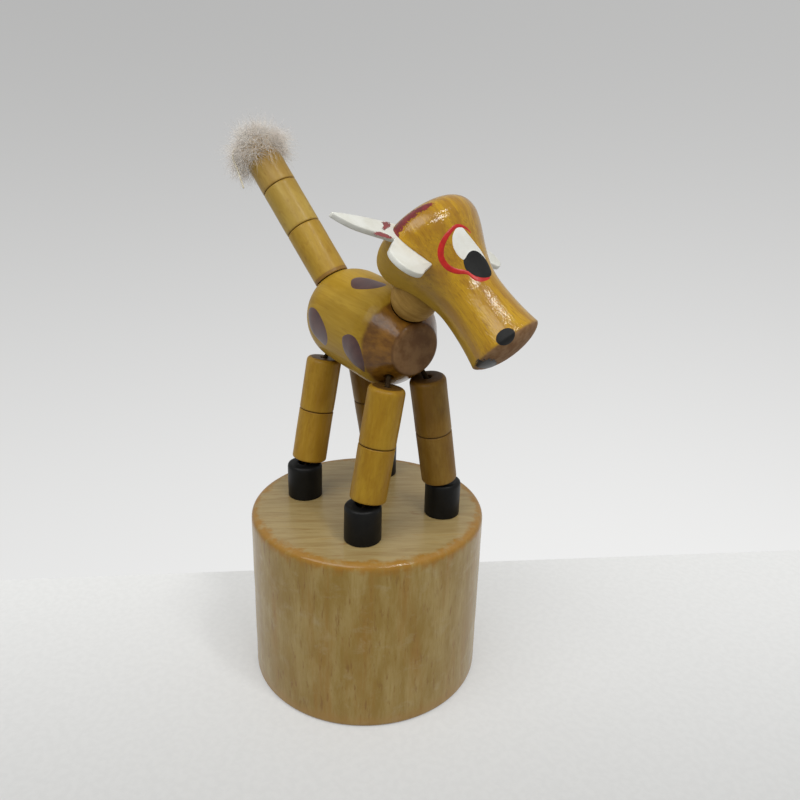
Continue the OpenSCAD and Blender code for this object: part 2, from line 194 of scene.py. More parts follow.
def tube(name, routes, width, material, sidesRound=10, twist=1.6, taper=None, plies=2):
    # A laid thread: the outline of its section has as many lobes as it has plies, and turns along it
    verts, faces = [], []
    for route in routes:
        route = [Vector(p) for p in route]
        first = len(verts)
        run = 0.0
        across = None
        for i, p in enumerate(route):
            heading = (route[min(i + 1, len(route) - 1)] - route[max(i - 1, 0)]).normalized()
            if across is None:
                across = heading.orthogonal().normalized()
            across = (across - heading * across.dot(heading)).normalized()
            above = heading.cross(across)
            if i:
                run += (p - route[i - 1]).length
            size = width / 2 * (taper(i / (len(route) - 1)) if taper else 1.0)
            for k in range(sidesRound):
                a = 2 * math.pi * k / sidesRound
                lobe = 0.86 + 0.14 * abs(math.cos(plies / 2 * (a - twist * run)))
                verts.append(p + (across * math.cos(a) + above * math.sin(a)) * size * lobe)
        for i in range(len(route) - 1):
            for k in range(sidesRound):
                n = (k + 1) % sidesRound
                a = first + i * sidesRound
                faces.append((a + k, a + n, a + n + sidesRound, a + k + sidesRound))
        last = first + (len(route) - 1) * sidesRound
        faces.append(tuple(reversed(range(first, first + sidesRound))))
        faces.append(tuple(range(last, last + sidesRound)))
    return addMesh(name, verts, faces, material)


def fine(points, step=0.4):
    # The same route with a point every step, eased at its corners
    points = [Vector(p) for p in points]
    dense = [points[0]]
    for a, b in zip(points, points[1:]):
        count = max(1, round((b - a).length / step))
        dense += [a.lerp(b, k / count) for k in range(1, count + 1)]
    for _ in range(3):
        between = [(p + q * 2 + r) / 4 for p, q, r in zip(dense, dense[1:], dense[2:])]
        dense = [dense[0]] + between + [dense[-1]]
    return dense


def carve(piece, cutters, sharp=38):
    bpy.context.view_layer.objects.active = piece
    for cutter in cutters:
        cut = piece.modifiers.new("carve", "BOOLEAN")
        cut.operation = "DIFFERENCE"
        cut.solver = "EXACT"
        cut.object = cutter
        bpy.context.view_layer.update()
        bpy.ops.object.modifier_apply(modifier=cut.name)
        bpy.data.objects.remove(cutter)
    piece.data.set_sharp_from_angle(angle=math.radians(sharp))
    return piece


def ballCutter(centre, radius):
    arc = []
    for i in range(41):
        a = math.pi * i / 40
        arc.append((radius * math.sin(a), -radius * math.cos(a)))
    arc[0], arc[-1] = (0, -radius), (0, radius)
    return lathe("ballCutter", arc, placed(centre, Vector((0.2, 0.1, 1)), forward), None, 80)


def rodCutter(start, end, width):
    along = end - start
    rod = [(0, 0), (width / 2, 0), (width / 2, along.length), (0, along.length)]
    return lathe("rodCutter", rod, placed(start, along, along.orthogonal()), None, 32)


def rounded(points, closed, steps=6):
    # A smooth line through the points
    count = len(points)
    spans = count if closed else count - 1
    found = []
    for i in range(spans):
        wanted = range(i - 1, i + 3)
        if closed:
            wanted = [k % count for k in wanted]
        else:
            wanted = [min(max(k, 0), count - 1) for k in wanted]
        p0, p1, p2, p3 = [Vector(points[k]) for k in wanted]
        for k in range(steps):
            t = k / steps
            bend = (p2 - p0) * t + (p0 * 2 - p1 * 5 + p2 * 4 - p3) * t ** 2
            bend += (p1 * 3 - p0 - p2 * 3 + p3) * t ** 3
            found.append(p1 + bend / 2)
    if not closed:
        found.append(Vector(points[-1]))
    return found


# The edge of a paint film lies this far under the surface, so that no gap shows
filmSunk = 0.015


def filmMesh(name, verts, faces, edge, material, matrix):
    # The film value is 0 at a paint mark's edge and 1 well inside it
    obj = addMesh(name, verts, faces, material, matrix)
    obj.data.attributes.new("film", "FLOAT", "POINT").data.foreach_set("value", edge)
    return obj


def paintPatch(name, surface, outline, matrix, material, thick=0.05, rings=9):
    rim = rounded(outline, True)
    count = len(rim)
    centre = sum(rim, Vector((0, 0))) / count
    verts, edge, faces = [surface(centre.x, centre.y, thick)], [1.0], []
    for i in range(1, rings + 1):
        s = 1 - (1 - i / rings) ** 1.6
        lift = thick * (1 - s ** 8) - filmSunk * s ** 8
        for p in rim:
            q = centre.lerp(p, s)
            verts.append(surface(q.x, q.y, lift))
            edge.append(1 - s)
    for k in range(count):
        n = (k + 1) % count
        faces.append((0, 1 + k, 1 + n))
        for i in range(rings - 1):
            a = 1 + i * count
            faces.append((a + k, a + k + count, a + n + count, a + n))
    return filmMesh(name, verts, faces, edge, material, matrix)


def paintStroke(name, surface, line, widths, matrix, material, thick=0.05, metric=None):
    # Widths are given along the line, in millimetres
    path = rounded(line, False, 8)
    last = len(path) - 1
    verts, edge, faces = [], [], []
    shoulder = 0.75 * thick
    lanes = ((-1, -filmSunk), (-0.8, shoulder), (-0.35, thick),
             (0.35, thick), (0.8, shoulder), (1, -filmSunk))
    for i, p in enumerate(path):
        scale = metric(p.x) if metric else 1.0
        heading = path[min(i + 1, last)] - path[max(i - 1, 0)]
        flat = Vector((heading.x, heading.y * scale)).normalized()
        place = i / last * (len(widths) - 1)
        low = min(int(place), len(widths) - 2)
        half = mix(widths[low], widths[low + 1], place - low) / 2
        for lane, lift in lanes:
            offset = Vector((-flat.y, flat.x)) * half * lane
            tip = min(1.0, 6 * min(i, last - i) / last)
            verts.append(surface(p.x + offset.x, p.y + offset.y / scale, mix(-filmSunk, lift, tip)))
            edge.append(min(1 - abs(lane), tip))
    wide = len(lanes)
    for i in range(last):
        for k in range(wide - 1):
            a = i * wide + k
            faces.append((a, a + wide, a + wide + 1, a + 1))
    return filmMesh(name, verts, faces, edge, material, matrix)


# Shader helpers
def newGroup(name, inputs, outputs):
    tree = bpy.data.node_groups.new(name, "ShaderNodeTree")
    for label, value in inputs:
        kind = "NodeSocketColor" if isinstance(value, tuple) else "NodeSocketFloat"
        socket = tree.interface.new_socket(label, in_out="INPUT", socket_type=kind)
        socket.default_value = (*value, 1) if isinstance(value, tuple) else value
    for label, kind in outputs:
        tree.interface.new_socket(label, in_out="OUTPUT", socket_type="NodeSocket" + kind)
    return tree, tree.nodes.new("NodeGroupInput"), tree.nodes.new("NodeGroupOutput")


def feed(tree, socket, value):
    # A socket takes a link from another node, or a value of its own
    if isinstance(value, bpy.types.NodeSocket):
        tree.links.new(value, socket)
        return
    if isinstance(value, tuple) and socket.type == "RGBA":
        value = (*value[:3], 1)
    socket.default_value = value


def put(tree, kind, links=None, **settings):
    made = tree.nodes.new("ShaderNode" + kind)
    for key, value in settings.items():
        setattr(made, key, value)
    for key, value in (links or {}).items():
        feed(tree, made.inputs[key], value)
    return made


def useGroup(tree, group, **values):
    return put(tree, "Group", values, node_tree=group).outputs


def calc(tree, operation, a, b=0.0, c=0.0):
    return put(tree, "Math", {0: a, 1: b, 2: c}, operation=operation).outputs[0]


def opposite(tree, value):
    return calc(tree, "SUBTRACT", 1.0, value)


def ranged(tree, value, low, high, toLow=0.0, toHigh=1.0):
    made = put(tree, "MapRange", {"Value": value, "From Min": low, "From Max": high, "To Min": toLow,
                                  "To Max": toHigh}, interpolation_type="SMOOTHSTEP")
    return made.outputs["Result"]


def blended(tree, factor, a, b):
    return put(tree, "Mix", {0: factor, 6: a, 7: b}, data_type="RGBA").outputs[2]


def ownPlace(tree):
    # A point in the piece's own frame, in millimetres
    spot = put(tree, "TexCoord").outputs["Object"]
    return put(tree, "VectorMath", {0: spot, 1: (1000, 1000, 1000)}, operation="MULTIPLY").outputs[0]


def fromAxis(tree, apart):
    # Distance from the piece's own axis
    flat = put(tree, "CombineXYZ", {0: apart[0], 1: apart[1], 2: 0.0}).outputs[0]
    return put(tree, "VectorMath", {0: flat}, operation="LENGTH").outputs["Value"]


def seenAsIs(tree):
    # 1 for rays from the camera, off a gloss or through glass, which meet the background as it is
    path = put(tree, "LightPath").outputs
    direct = calc(tree, "MAXIMUM", path["Is Camera Ray"], path["Is Glossy Ray"])
    return calc(tree, "MAXIMUM", direct, path["Is Transmission Ray"])


def scaledNoise(tree, spot, scales, detail, rough, warp, size=1.0):
    vector = put(tree, "VectorMath", {0: spot, 1: scales}, operation="MULTIPLY").outputs[0]
    made = put(tree, "TexNoise", {"Vector": vector, "Scale": size, "Detail": detail, "Roughness": rough,
                                  "Distortion": warp})
    return made.outputs["Fac"]


def stretched(tree, spot, seed, across, along, detail=4.0, rough=0.55, warp=0.0):
    # Noise drawn out along the piece's own axis; the seed moves it elsewhere
    shift = put(tree, "CombineXYZ", {0: seed, 1: calc(tree, "MULTIPLY", seed, 1.7),
                                     2: calc(tree, "MULTIPLY", seed, 2.9)}).outputs[0]
    moved = put(tree, "VectorMath", {0: spot, 1: shift}, operation="ADD").outputs[0]
    scales = put(tree, "CombineXYZ", {0: across, 1: across, 2: along}).outputs[0]
    return scaledNoise(tree, moved, scales, detail, rough, warp)


# Grain that runs along a piece's own axis: soft bands, fine fibres and short brown dashes
grain, gIn, gOut = newGroup(
    "grainFigure",
    [("Seed", 0.0), ("Across", 0.5), ("Along", 0.05), ("Light", (0.6, 0.4, 0.1)),
     ("Dark", (0.4, 0.2, 0.05)), ("Dash", (0.3, 0.13, 0.03)), ("Dashes", 0.5)],
    [("Color", "Color"), ("Fibre", "Float")])
spot = ownPlace(grain)
seed, across, along = (gIn.outputs[label] for label in ("Seed", "Across", "Along"))
bands = stretched(grain, spot, seed, across, along, 4.0, 0.6, 0.4)
fibre = stretched(grain, spot, seed, calc(grain, "MULTIPLY", across, 9.0),
                  calc(grain, "MULTIPLY", along, 5.0), 3.0, 0.6)
dash = stretched(grain, spot, calc(grain, "ADD", seed, 40.0), calc(grain, "MULTIPLY", across, 5.0),
                 calc(grain, "MULTIPLY", along, 9.0), 2.0, 0.5)
wood = blended(grain, ranged(grain, bands, 0.32, 0.68), gIn.outputs["Dark"], gIn.outputs["Light"])
wood = blended(grain, ranged(grain, fibre, 0.3, 0.75, 0.0, 0.55), wood, gIn.outputs["Dark"])
strong = calc(grain, "MULTIPLY", ranged(grain, dash, 0.56, 0.7), gIn.outputs["Dashes"])
grain.links.new(blended(grain, strong, wood, gIn.outputs["Dash"]), gOut.inputs["Color"])
grain.links.new(fibre, gOut.inputs["Fibre"])

# Varnish that lies in streaks along the grain with a finer orange peel over them
varnish, vIn, vOut = newGroup(
    "varnishRipple", [("Seed", 0.0), ("Across", 2.0), ("Along", 0.3), ("Peel", 2.5)],
    [("Height", "Float"), ("Rough", "Float")])
spot = ownPlace(varnish)
seed, across, along, fineness = (vIn.outputs[label] for label in ("Seed", "Across", "Along", "Peel"))
streak = stretched(varnish, spot, seed, across, along, 3.0, 0.6)
peel = stretched(varnish, spot, calc(varnish, "ADD", seed, 11.0), fineness, fineness, 2.0, 0.5)
varnish.links.new(calc(varnish, "MULTIPLY_ADD", peel, 0.45, streak), vOut.inputs["Height"])
varnish.links.new(ranged(varnish, streak, 0.3, 0.7, 0.18, 0.34), vOut.inputs["Rough"])

# How near a point is to either end of a bead of the given length
ends, eIn, eOut = newGroup(
    "beadEnds", [("Length", 8.0), ("Width", 0.8), ("Seed", 0.0), ("Bore", 1.1)],
    [("Mask", "Float"), ("Face", "Float")])
spot = ownPlace(ends)
apart = put(ends, "SeparateXYZ", {0: spot}).outputs
near = calc(ends, "MINIMUM", apart[2], calc(ends, "SUBTRACT", eIn.outputs["Length"], apart[2]))
beyond = calc(ends, "SUBTRACT", fromAxis(ends, apart), eIn.outputs["Bore"])
inner = calc(ends, "MINIMUM", ranged(ends, near, 0.0, 0.09), ranged(ends, beyond, 0.05, 0.4))
# Face is 1 on a bead's end faces, which get painted shade: the shadow in the gaps between beads and under the
# body
ends.links.new(opposite(ends, inner), eOut.inputs["Face"])
patchy = stretched(ends, spot, eIn.outputs["Seed"], 0.9, 0.9, 3.0)
ragged = calc(ends, "MULTIPLY", calc(ends, "SUBTRACT", patchy, 0.5), eIn.outputs["Width"])
near = calc(ends, "SUBTRACT", near, ragged)
ends.links.new(opposite(ends, ranged(ends, near, 0.0, eIn.outputs["Width"])), eOut.inputs["Mask"])

# Paint with faint brush lines; Cover breaks its edge up where the film thins out
paint, pIn, pOut = newGroup(
    "paintSkin", [("Tint", (0.5, 0.5, 0.5)), ("Shade", (0.3, 0.3, 0.3)), ("Grain", 1.2), ("Dry", 0.0)],
    [("Color", "Color"), ("Height", "Float"), ("Cover", "Float")])
spot = ownPlace(paint)
across = pIn.outputs["Grain"]
cloud = stretched(paint, spot, 3.0, across, across, 4.0)
bristle = stretched(paint, spot, 8.0, calc(paint, "MULTIPLY", across, 4.0),
                    calc(paint, "MULTIPLY", across, 1.2), 3.0)
tone = blended(paint, ranged(paint, cloud, 0.3, 0.7), pIn.outputs["Shade"], pIn.outputs["Tint"])
paint.links.new(tone, pOut.inputs["Color"])
paint.links.new(calc(paint, "MULTIPLY_ADD", bristle, 0.5, cloud), pOut.inputs["Height"])
film = put(paint, "Attribute", attribute_name="film").outputs["Fac"]
worn = calc(paint, "MULTIPLY", pIn.outputs["Dry"], calc(paint, "SUBTRACT", bristle, 0.32))
whole = calc(paint, "SUBTRACT", calc(paint, "MULTIPLY", film, 3.0), calc(paint, "MULTIPLY", worn, 6.0))
paint.links.new(ranged(paint, whole, -0.02, 0.06), pOut.inputs["Cover"])

# Zones of the drum: its amber rim, its top face and its foot, which is tinted browner towards the bottom
zones, zIn, zOut = newGroup(
    "drumZones", [("Height", 30.6), ("Radius", 20.0)],
    [("Rim", "Float"), ("Top", "Float"), ("Foot", "Float")])
spot = ownPlace(zones)
apart = put(zones, "SeparateXYZ", {0: spot}).outputs
down = calc(zones, "SUBTRACT", zIn.outputs["Height"], apart[2])
inward = calc(zones, "SUBTRACT", zIn.outputs["Radius"], fromAxis(zones, apart))
ragged = stretched(zones, spot, 5.0, 0.42, 0.42, 4.0, 0.65)
drips = stretched(zones, spot, 17.0, 0.9, 0.14, 3.0, 0.6)
reach = calc(zones, "ADD", calc(zones, "MULTIPLY", ragged, 4.2), calc(zones, "MULTIPLY", drips, 1.6))
past = calc(zones, "SUBTRACT", calc(zones, "ADD", down, inward), reach)
zones.links.new(opposite(zones, ranged(zones, past, -2.4, -0.9)), zOut.inputs["Rim"])
zones.links.new(opposite(zones, ranged(zones, down, 0.1, 0.5)), zOut.inputs["Top"])
risen = calc(zones, "SUBTRACT", apart[2], calc(zones, "MULTIPLY", drips, 3.0))
zones.links.new(opposite(zones, ranged(zones, risen, -0.6, 1.4)), zOut.inputs["Foot"])
print("shader groups made")


def principled(name):
    material = bpy.data.materials.new(name)
    material.use_nodes = True
    tree = material.node_tree
    return material, tree, tree.nodes["Principled BSDF"]


def bumped(tree, shader, height, strength, distance):
    made = put(tree, "Bump", {"Strength": strength, "Distance": distance * mm, "Height": height})
    for socket in ("Normal", "Coat Normal"):
        tree.links.new(made.outputs["Normal"], shader.inputs[socket])


def setAll(shader, **values):
    names = {"rough": "Roughness", "coat": "Coat Weight", "coatRough": "Coat Roughness",
             "shine": "Specular IOR Level", "metal": "Metallic"}
    for key, value in values.items():
        shader.inputs[names[key]].default_value = value


def grainOf(tree, looks):
    return useGroup(tree, grain, Seed=looks["seed"], Across=looks["across"], Along=looks["along"],
                    Light=looks["light"], Dark=looks["dark"], Dash=looks["dash"], Dashes=looks["dashes"])


def woodMaterial(name, looks):
    material, tree, shader = principled(name)
    figure = grainOf(tree, looks)
    color = figure["Color"]
    if "length" in looks:
        rim = useGroup(tree, ends, Length=looks["length"], Width=looks["rimWidth"], Seed=looks["seed"],
                       Bore=looks["boreR"])
        color = blended(tree, calc(tree, "MULTIPLY", rim["Mask"], looks["rimAmount"]), color, looks["rim"])
        # Painted shade: the bead's end faces are darkened as if in the shadow at the joint
        color = blended(tree, calc(tree, "MULTIPLY", rim["Face"], 0.9), color, looks["paintedEndShade"])
    tree.links.new(color, shader.inputs["Base Color"])
    skin = useGroup(tree, varnish, Seed=looks["seed"], Across=looks["streaks"],
                    Along=looks["streaks"] * 0.12, Peel=looks["peel"])
    height = calc(tree, "MULTIPLY_ADD", figure["Fibre"], 0.5, skin["Height"])
    bumped(tree, shader, height, looks["relief"], 0.12)
    tree.links.new(skin["Rough"], shader.inputs["Coat Roughness"])
    setAll(shader, rough=looks["rough"], coat=looks["coat"], shine=looks["shine"])
    return material


def paintMaterial(name, looks):
    material, tree, shader = principled(name)
    skin = useGroup(tree, paint, Tint=looks["tint"], Shade=looks["shade"], Grain=looks["grain"],
                    Dry=looks["dry"])
    tree.links.new(skin["Color"], shader.inputs["Base Color"])
    if looks["dry"] > 0:
        tree.links.new(skin["Cover"], shader.inputs["Alpha"])
    bumped(tree, shader, skin["Height"], looks["relief"], 0.06)
    setAll(shader, rough=looks["rough"], coat=looks["coat"], coatRough=looks["coatRough"],
           shine=looks["shine"])
    return material


# Drum base
drum = {"d": 40.0, "h": 30.6, "rim": 1.2, "foot": 0.8, "bore": 28.0, "boreEase": 0.35, "ceiling": 6.6,
        "ceilingEase": 0.4, "pocket": 1.0, "pocketR": 6.9, "pocketEase": 0.15, "holeD": 2.2, "holeDeep": 8.0}
drumLooks = {"light": (0.385, 0.27, 0.085), "dark": (0.275, 0.165, 0.02), "dash": (0.205, 0.09, 0.01),
             "smear": (0.305, 0.15, 0.012), "pale": (0.445, 0.355, 0.185), "amber": (0.32, 0.145, 0.009),
             "top": (0.31, 0.215, 0.083), "topPale": (0.39, 0.295, 0.13), "topStain": (0.25, 0.115, 0.03),
             "footTint": (0.36, 0.19, 0.04), "topGrain": -58.0}
# Layers over the side's mottle: tint, noise (seed, across, along, detail, roughness, warp), range and amounts
drumLayers = [("smear", (13.0, 0.42, 0.05, 5.0, 0.66, 0.1), (0.47, 0.72, 0.0, 0.7)),
              ("pale", (43.0, 0.22, 0.3, 5.0, 0.62, 0.3), (0.52, 0.74, 0.0, 0.4)),
              ("dark", (23.0, 2.6, 0.22, 4.0, 0.65), (0.45, 0.75, 0.0, 0.55)),
              ("dash", (33.0, 1.7, 0.32, 3.0, 0.6), (0.56, 0.72, 0.0, 0.6))]
ceilingZ = drum["h"] - drum["ceiling"]


def drumMaterial():
    looks = drumLooks
    material, tree, shader = principled("drumBeech")
    spot = ownPlace(tree)
    mottle = stretched(tree, spot, 2.0, 0.30, 0.09, 6.0, 0.64, 0.15)
    color = blended(tree, ranged(tree, mottle, 0.34, 0.68), looks["dark"], looks["light"])
    layers = {}
    for tint, figure, shows in drumLayers:
        layers[tint] = stretched(tree, spot, *figure)
        color = blended(tree, ranged(tree, layers[tint], *shows), color, looks[tint])
    where = useGroup(tree, zones, Height=drum["h"], Radius=drum["d"] / 2)
    laid = put(tree, "VectorRotate", {"Vector": spot, "Angle": math.radians(looks["topGrain"])},
               rotation_type="Z_AXIS").outputs[0]
    streak = scaledNoise(tree, laid, (0.10, 0.95, 1.0), 5.0, 0.65, 0.5)
    topColor = blended(tree, ranged(tree, streak, 0.34, 0.66), looks["top"], looks["topPale"])
    topColor = blended(tree, ranged(tree, streak, 0.57, 0.72, 0.0, 0.4), topColor, looks["smear"])
    stains = scaledNoise(tree, laid, (0.05, 0.3, 1.0), 6.0, 0.7, 0.8, 1.7)
    topColor = blended(tree, ranged(tree, stains, 0.56, 0.72, 0.0, 0.5), topColor, looks["topStain"])
    color = blended(tree, where["Top"], color, topColor)
    color = blended(tree, calc(tree, "MULTIPLY", where["Foot"], 0.5), color, looks["footTint"])
    color = blended(tree, calc(tree, "MULTIPLY", where["Rim"], 0.8), color, looks["amber"])
    tree.links.new(color, shader.inputs["Base Color"])
    skin = useGroup(tree, varnish, Seed=4.0, Across=0.8, Along=0.1, Peel=1.4)
    bumped(tree, shader, calc(tree, "MULTIPLY_ADD", layers["dark"], 0.6, skin["Height"]), 0.14, 0.12)
    tree.links.new(calc(tree, "MULTIPLY_ADD", where["Rim"], -0.2, 0.8), shader.inputs["Coat Weight"])
    tree.links.new(calc(tree, "MULTIPLY_ADD", where["Rim"], -0.14, 0.24), shader.inputs["Coat Roughness"])
    setAll(shader, rough=0.55, shine=0.12)
    return material


outerR, boreR, pocketZ = drum["d"] / 2, drum["bore"] / 2, ceilingZ + drum["pocket"]
drumProfile = eased([(0, pocketZ, 0), (drum["pocketR"], pocketZ, drum["pocketEase"]),
                     (drum["pocketR"], ceilingZ, drum["pocketEase"]), (boreR, ceilingZ, drum["ceilingEase"]),
                     (boreR, 0, drum["boreEase"]), (outerR, 0, drum["foot"]),
                     (outerR, drum["h"], drum["rim"]), (0, drum["h"], 0)], 1.0)
baseDrum = lathe("baseDrum", drumProfile, placed(Vector((0, 0, 0)), upright, forward), drumMaterial(), 192,
                 wobble=0.04)

# Hooves stand on the base over its thread holes
hoof = {"d": 6.0, "h": 6.2, "ease": 0.75, "footEase": 0.25, "bore": 2.2, "boreEase": 0.3, "stanceX": 9.3,
        "stanceY": 8.1, "figureY": 0.9}
hoofLooks = {"tint": (0.0055, 0.0055, 0.005), "shade": (0.003, 0.003, 0.003), "grain": 0.7, "dry": 0.0,
             "relief": 0.25, "rough": 0.45, "coat": 0.06, "coatRough": 0.3, "shine": 0.16}
hoofPaint = paintMaterial("hoofPaint", hoofLooks)


def hoofAt(side):
    return Vector((side[0] * hoof["stanceX"], hoof["figureY"] + side[1] * hoof["stanceY"], drum["h"]))


carve(baseDrum, [rodCutter(hoofAt(side) - upright * drum["holeDeep"], hoofAt(side) + upright, drum["holeD"])
                 for side in sides.values()], 60)
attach(baseDrum, "base")
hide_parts("base_drum")
hoofR, hoofBoreR = hoof["d"] / 2, hoof["bore"] / 2
hoofProfile = eased([(hoofBoreR, 0, 0), (hoofR, 0, hoof["footEase"]), (hoofR, hoof["h"], hoof["ease"]),
                     (hoofBoreR, hoof["h"], hoof["boreEase"]), (hoofBoreR, 0, 0)], 0.8)[:-1]
for number, (name, side) in enumerate(sides.items()):
    place = placed(hoofAt(side), upright, Vector((1, number, 0)))
    piece = lathe(name + "Hoof", hoofProfile, place, hoofPaint, 72, closed=True, wobble=0.05,
                  seed=3.0 * number)
    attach(piece, "base")
    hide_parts(cadName(name) + "_hoof")
print("base and hooves built")

# Leg beads lean inwards to the hips; the upper ones have a narrower bore at the top
leg = {"d": 5.9, "lower": 9.0, "upper": 9.0, "lean": 10.4, "footIn": 0.9, "restGap": 0.1, "gap": 0.06,
       "bore": 2.2, "ease": 0.3, "topEase": 0.9, "topBore": 1.3,
       "topReach": {"frontRight": 0.4, "frontLeft": 0.6, "rearRight": 0.15, "rearLeft": 0.15}}
legLooks = {"across": 0.26, "along": 0.09, "light": (0.52, 0.305, 0.026), "dark": (0.36, 0.18, 0.009),
            "dash": (0.25, 0.11, 0.006), "dashes": 0.2, "rim": (0.26, 0.125, 0.012), "rimWidth": 0.5,
            "rimAmount": 0.4, "paintedEndShade": (0.07, 0.033, 0.008), "boreR": leg["bore"] / 2, "streaks": 1.6,
            "peel": 1.8, "relief": 0.08, "rough": 0.5, "coat": 0.16, "shine": 0.15}
# Painted light and shade: each leg is tinted to the brightness it shows under the lamps, darkest for the left
# legs in the shadow of the head and body
legShadeTints = {"frontRight": (0.78, 0.78, 0.70), "frontLeft": (0.53, 0.52, 0.98),
            "rearRight": (0.90, 0.92, 1.12), "rearLeft": (0.55, 0.55, 0.9)}
bead = {"boreEase": 0.25, "stepTop": 1.6, "stepEnd": 1.8}
lean = math.radians(leg["lean"])
footZ = drum["h"] + hoof["h"] + leg["d"] / 2 * math.sin(lean) + leg["restGap"]
legStack = leg["lower"] + leg["gap"] + leg["upper"]


def footAt(side):
    across = hoof["figureY"] + side[1] * (hoof["stanceY"] - leg["footIn"])
    return Vector((side[0] * hoof["stanceX"], across, footZ))


def legDir(side):
    return Vector((0, -side[1] * math.sin(lean), math.cos(lean)))


def hipAt(side):
    return footAt(side) + legDir(side) * legStack


def beadProfile(width, length, bore, ease, topEase=None, topBore=None, hollow=0.0):
    wide, narrow = bore / 2, (topBore or bore) / 2
    corners = [(wide, 0, 0), (width / 2, -hollow, ease), (width / 2, length, topEase or ease),
               (narrow, length, bead["boreEase"]), (narrow, length - bead["stepTop"], 0),
               (wide, length - bead["stepEnd"], 0), (wide, 0, 0)]
    return eased(corners, 0.7)[:-1]


def tinted(color, amounts):
    return tuple(c * amount for c, amount in zip(color, amounts))


def beadMaterial(name, looks, amounts, length, seed):
    own = dict(looks, seed=seed, length=length)
    for key in ("light", "dark", "dash", "rim"):
        own[key] = tinted(looks[key], amounts)
    return woodMaterial(name, own)


for number, (name, side) in enumerate(sides.items()):
    upperStart, upperLength = leg["lower"] + leg["gap"], leg["upper"] + leg["topReach"][name]
    for part, start, length in (("Lower", 0.0, leg["lower"]), ("Upper", upperStart, upperLength)):
        title = name + part + "Leg"
        seed = 7.0 * number + (3.0 if part == "Upper" else 0.0)
        topEase = leg["topEase"] if part == "Upper" else leg["ease"]
        topBore = leg["topBore"] if part == "Upper" else leg["bore"]
        finish = beadMaterial(title, dict(legLooks, boreR=topBore / 2), legShadeTints[name], length, seed)
        around = Vector((math.cos(seed), math.sin(seed), 0.1))
        place = placed(footAt(side) + legDir(side) * start, legDir(side), around)
        profile = beadProfile(leg["d"], length, leg["bore"], leg["ease"], topEase, topBore)
        piece = lathe(title, profile, place, finish, 72, closed=True, wobble=0.03, seed=seed)
        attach(piece, cadName(name) + ("_shin" if part == "Lower" else "_thigh"))
        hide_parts(cadName(title))
print("legs built")

# Barrel body with a domed rump, a rounded shoulder and a stained cone at the chest
barrel = {"r": 7.9, "rumpX": 6.0, "shoulderX": 4.6, "shoulderR": 4.5, "coneAngle": 37.6, "chestX": 11.2,
          "chestRound": 0.45, "pitch": 3.0, "sag": 2.0, "hipGap": 0.2, "seatX": 8.9, "seatDepth": 1.75,
          "seatGap": 0.2, "bore": 2.4, "hipBore": 1.6, "meetFront": 1.8, "meetRear": 2.1, "meetDeep": 5.0,
          "stainX": 7.1}
barrelLooks = {"seed": 21.0, "across": 0.3, "along": 0.03, "light": (0.46, 0.29, 0.036),
               "dark": (0.34, 0.195, 0.014), "dash": (0.27, 0.125, 0.01), "dashes": 0.25,
               "stain": (0.25, 0.11, 0.010), "stainDark": (0.125, 0.048, 0.004), "disc": (0.15, 0.07, 0.024),
               "discPale": (0.23, 0.125, 0.05), "discEdge": (0.07, 0.026, 0.006)}
hip = hipAt((-1, 1))
hipY = hip.y - hoof["figureY"]
rumpDrop = (barrel["r"] + barrel["hipGap"] - hipY * math.sin(lean)) / math.cos(lean)
bodyTurn = turn("Y", barrel["pitch"])
bodyZ = hip.z + rumpDrop - barrel["rumpX"] * math.sin(math.radians(barrel["pitch"]))
bodyAt = Vector((0, hoof["figureY"], bodyZ))
coneSlope = math.radians(barrel["coneAngle"])
coneX = barrel["shoulderX"] + barrel["shoulderR"] * math.sin(coneSlope)
coneStartR = barrel["r"] - barrel["shoulderR"] * (1 - math.cos(coneSlope))


def coneR(x):
    return coneStartR - (x - coneX) * math.tan(coneSlope)


def barrelR(x):
    if x < -barrel["rumpX"]:
        return math.sqrt(max(barrel["r"] ** 2 - (x + barrel["rumpX"]) ** 2, 0))
    if x < barrel["shoulderX"]:
        return barrel["r"]
    if x < coneX:
        rise = x - barrel["shoulderX"]
        return barrel["r"] - barrel["shoulderR"] + math.sqrt(barrel["shoulderR"] ** 2 - rise ** 2)
    return coneR(x)


def revolved(radius, x, angle, lift):
    # A point of a turned surface, lifted off it along its normal
    # The angle runs from the top towards the right side
    r = radius(x)
    slope = (radius(x + 0.01) - radius(x - 0.01)) / 0.02
    slope = min(max(slope, -30), 30)
    a = math.radians(angle)
    size = math.sqrt(1 + slope ** 2)
    out = r + lift / size
    return Vector((out * math.cos(a), out * math.sin(a), x - lift * slope / size))


def barrelSurface(x, angle, lift):
    return revolved(barrelR, x, angle, lift)


rumpAt = bodyAt + bodyTurn @ Vector((-barrel["rumpX"], 0, 0))
# The wood noses down a little more about its rump, to the tops of the front legs
sagTurn = turn("Y", barrel["pitch"] + barrel["sag"])
bodyPlace = placed(rumpAt + sagTurn @ Vector((barrel["rumpX"], 0, 0)), sagTurn @ forward, sagTurn @ upright)
seatDir = bodyTurn @ Vector((math.sin(coneSlope), 0, math.cos(coneSlope)))
seatAt = bodyAt + bodyTurn @ Vector((barrel["seatX"], 0, coneR(barrel["seatX"])))
neck = {"d": 7.2, "bore": 3.4}
ballAt = seatAt + seatDir * (neck["d"] / 2 - barrel["seatDepth"])
frontMeet = seatAt - seatDir * barrel["meetDeep"]
rearMeet = rumpAt


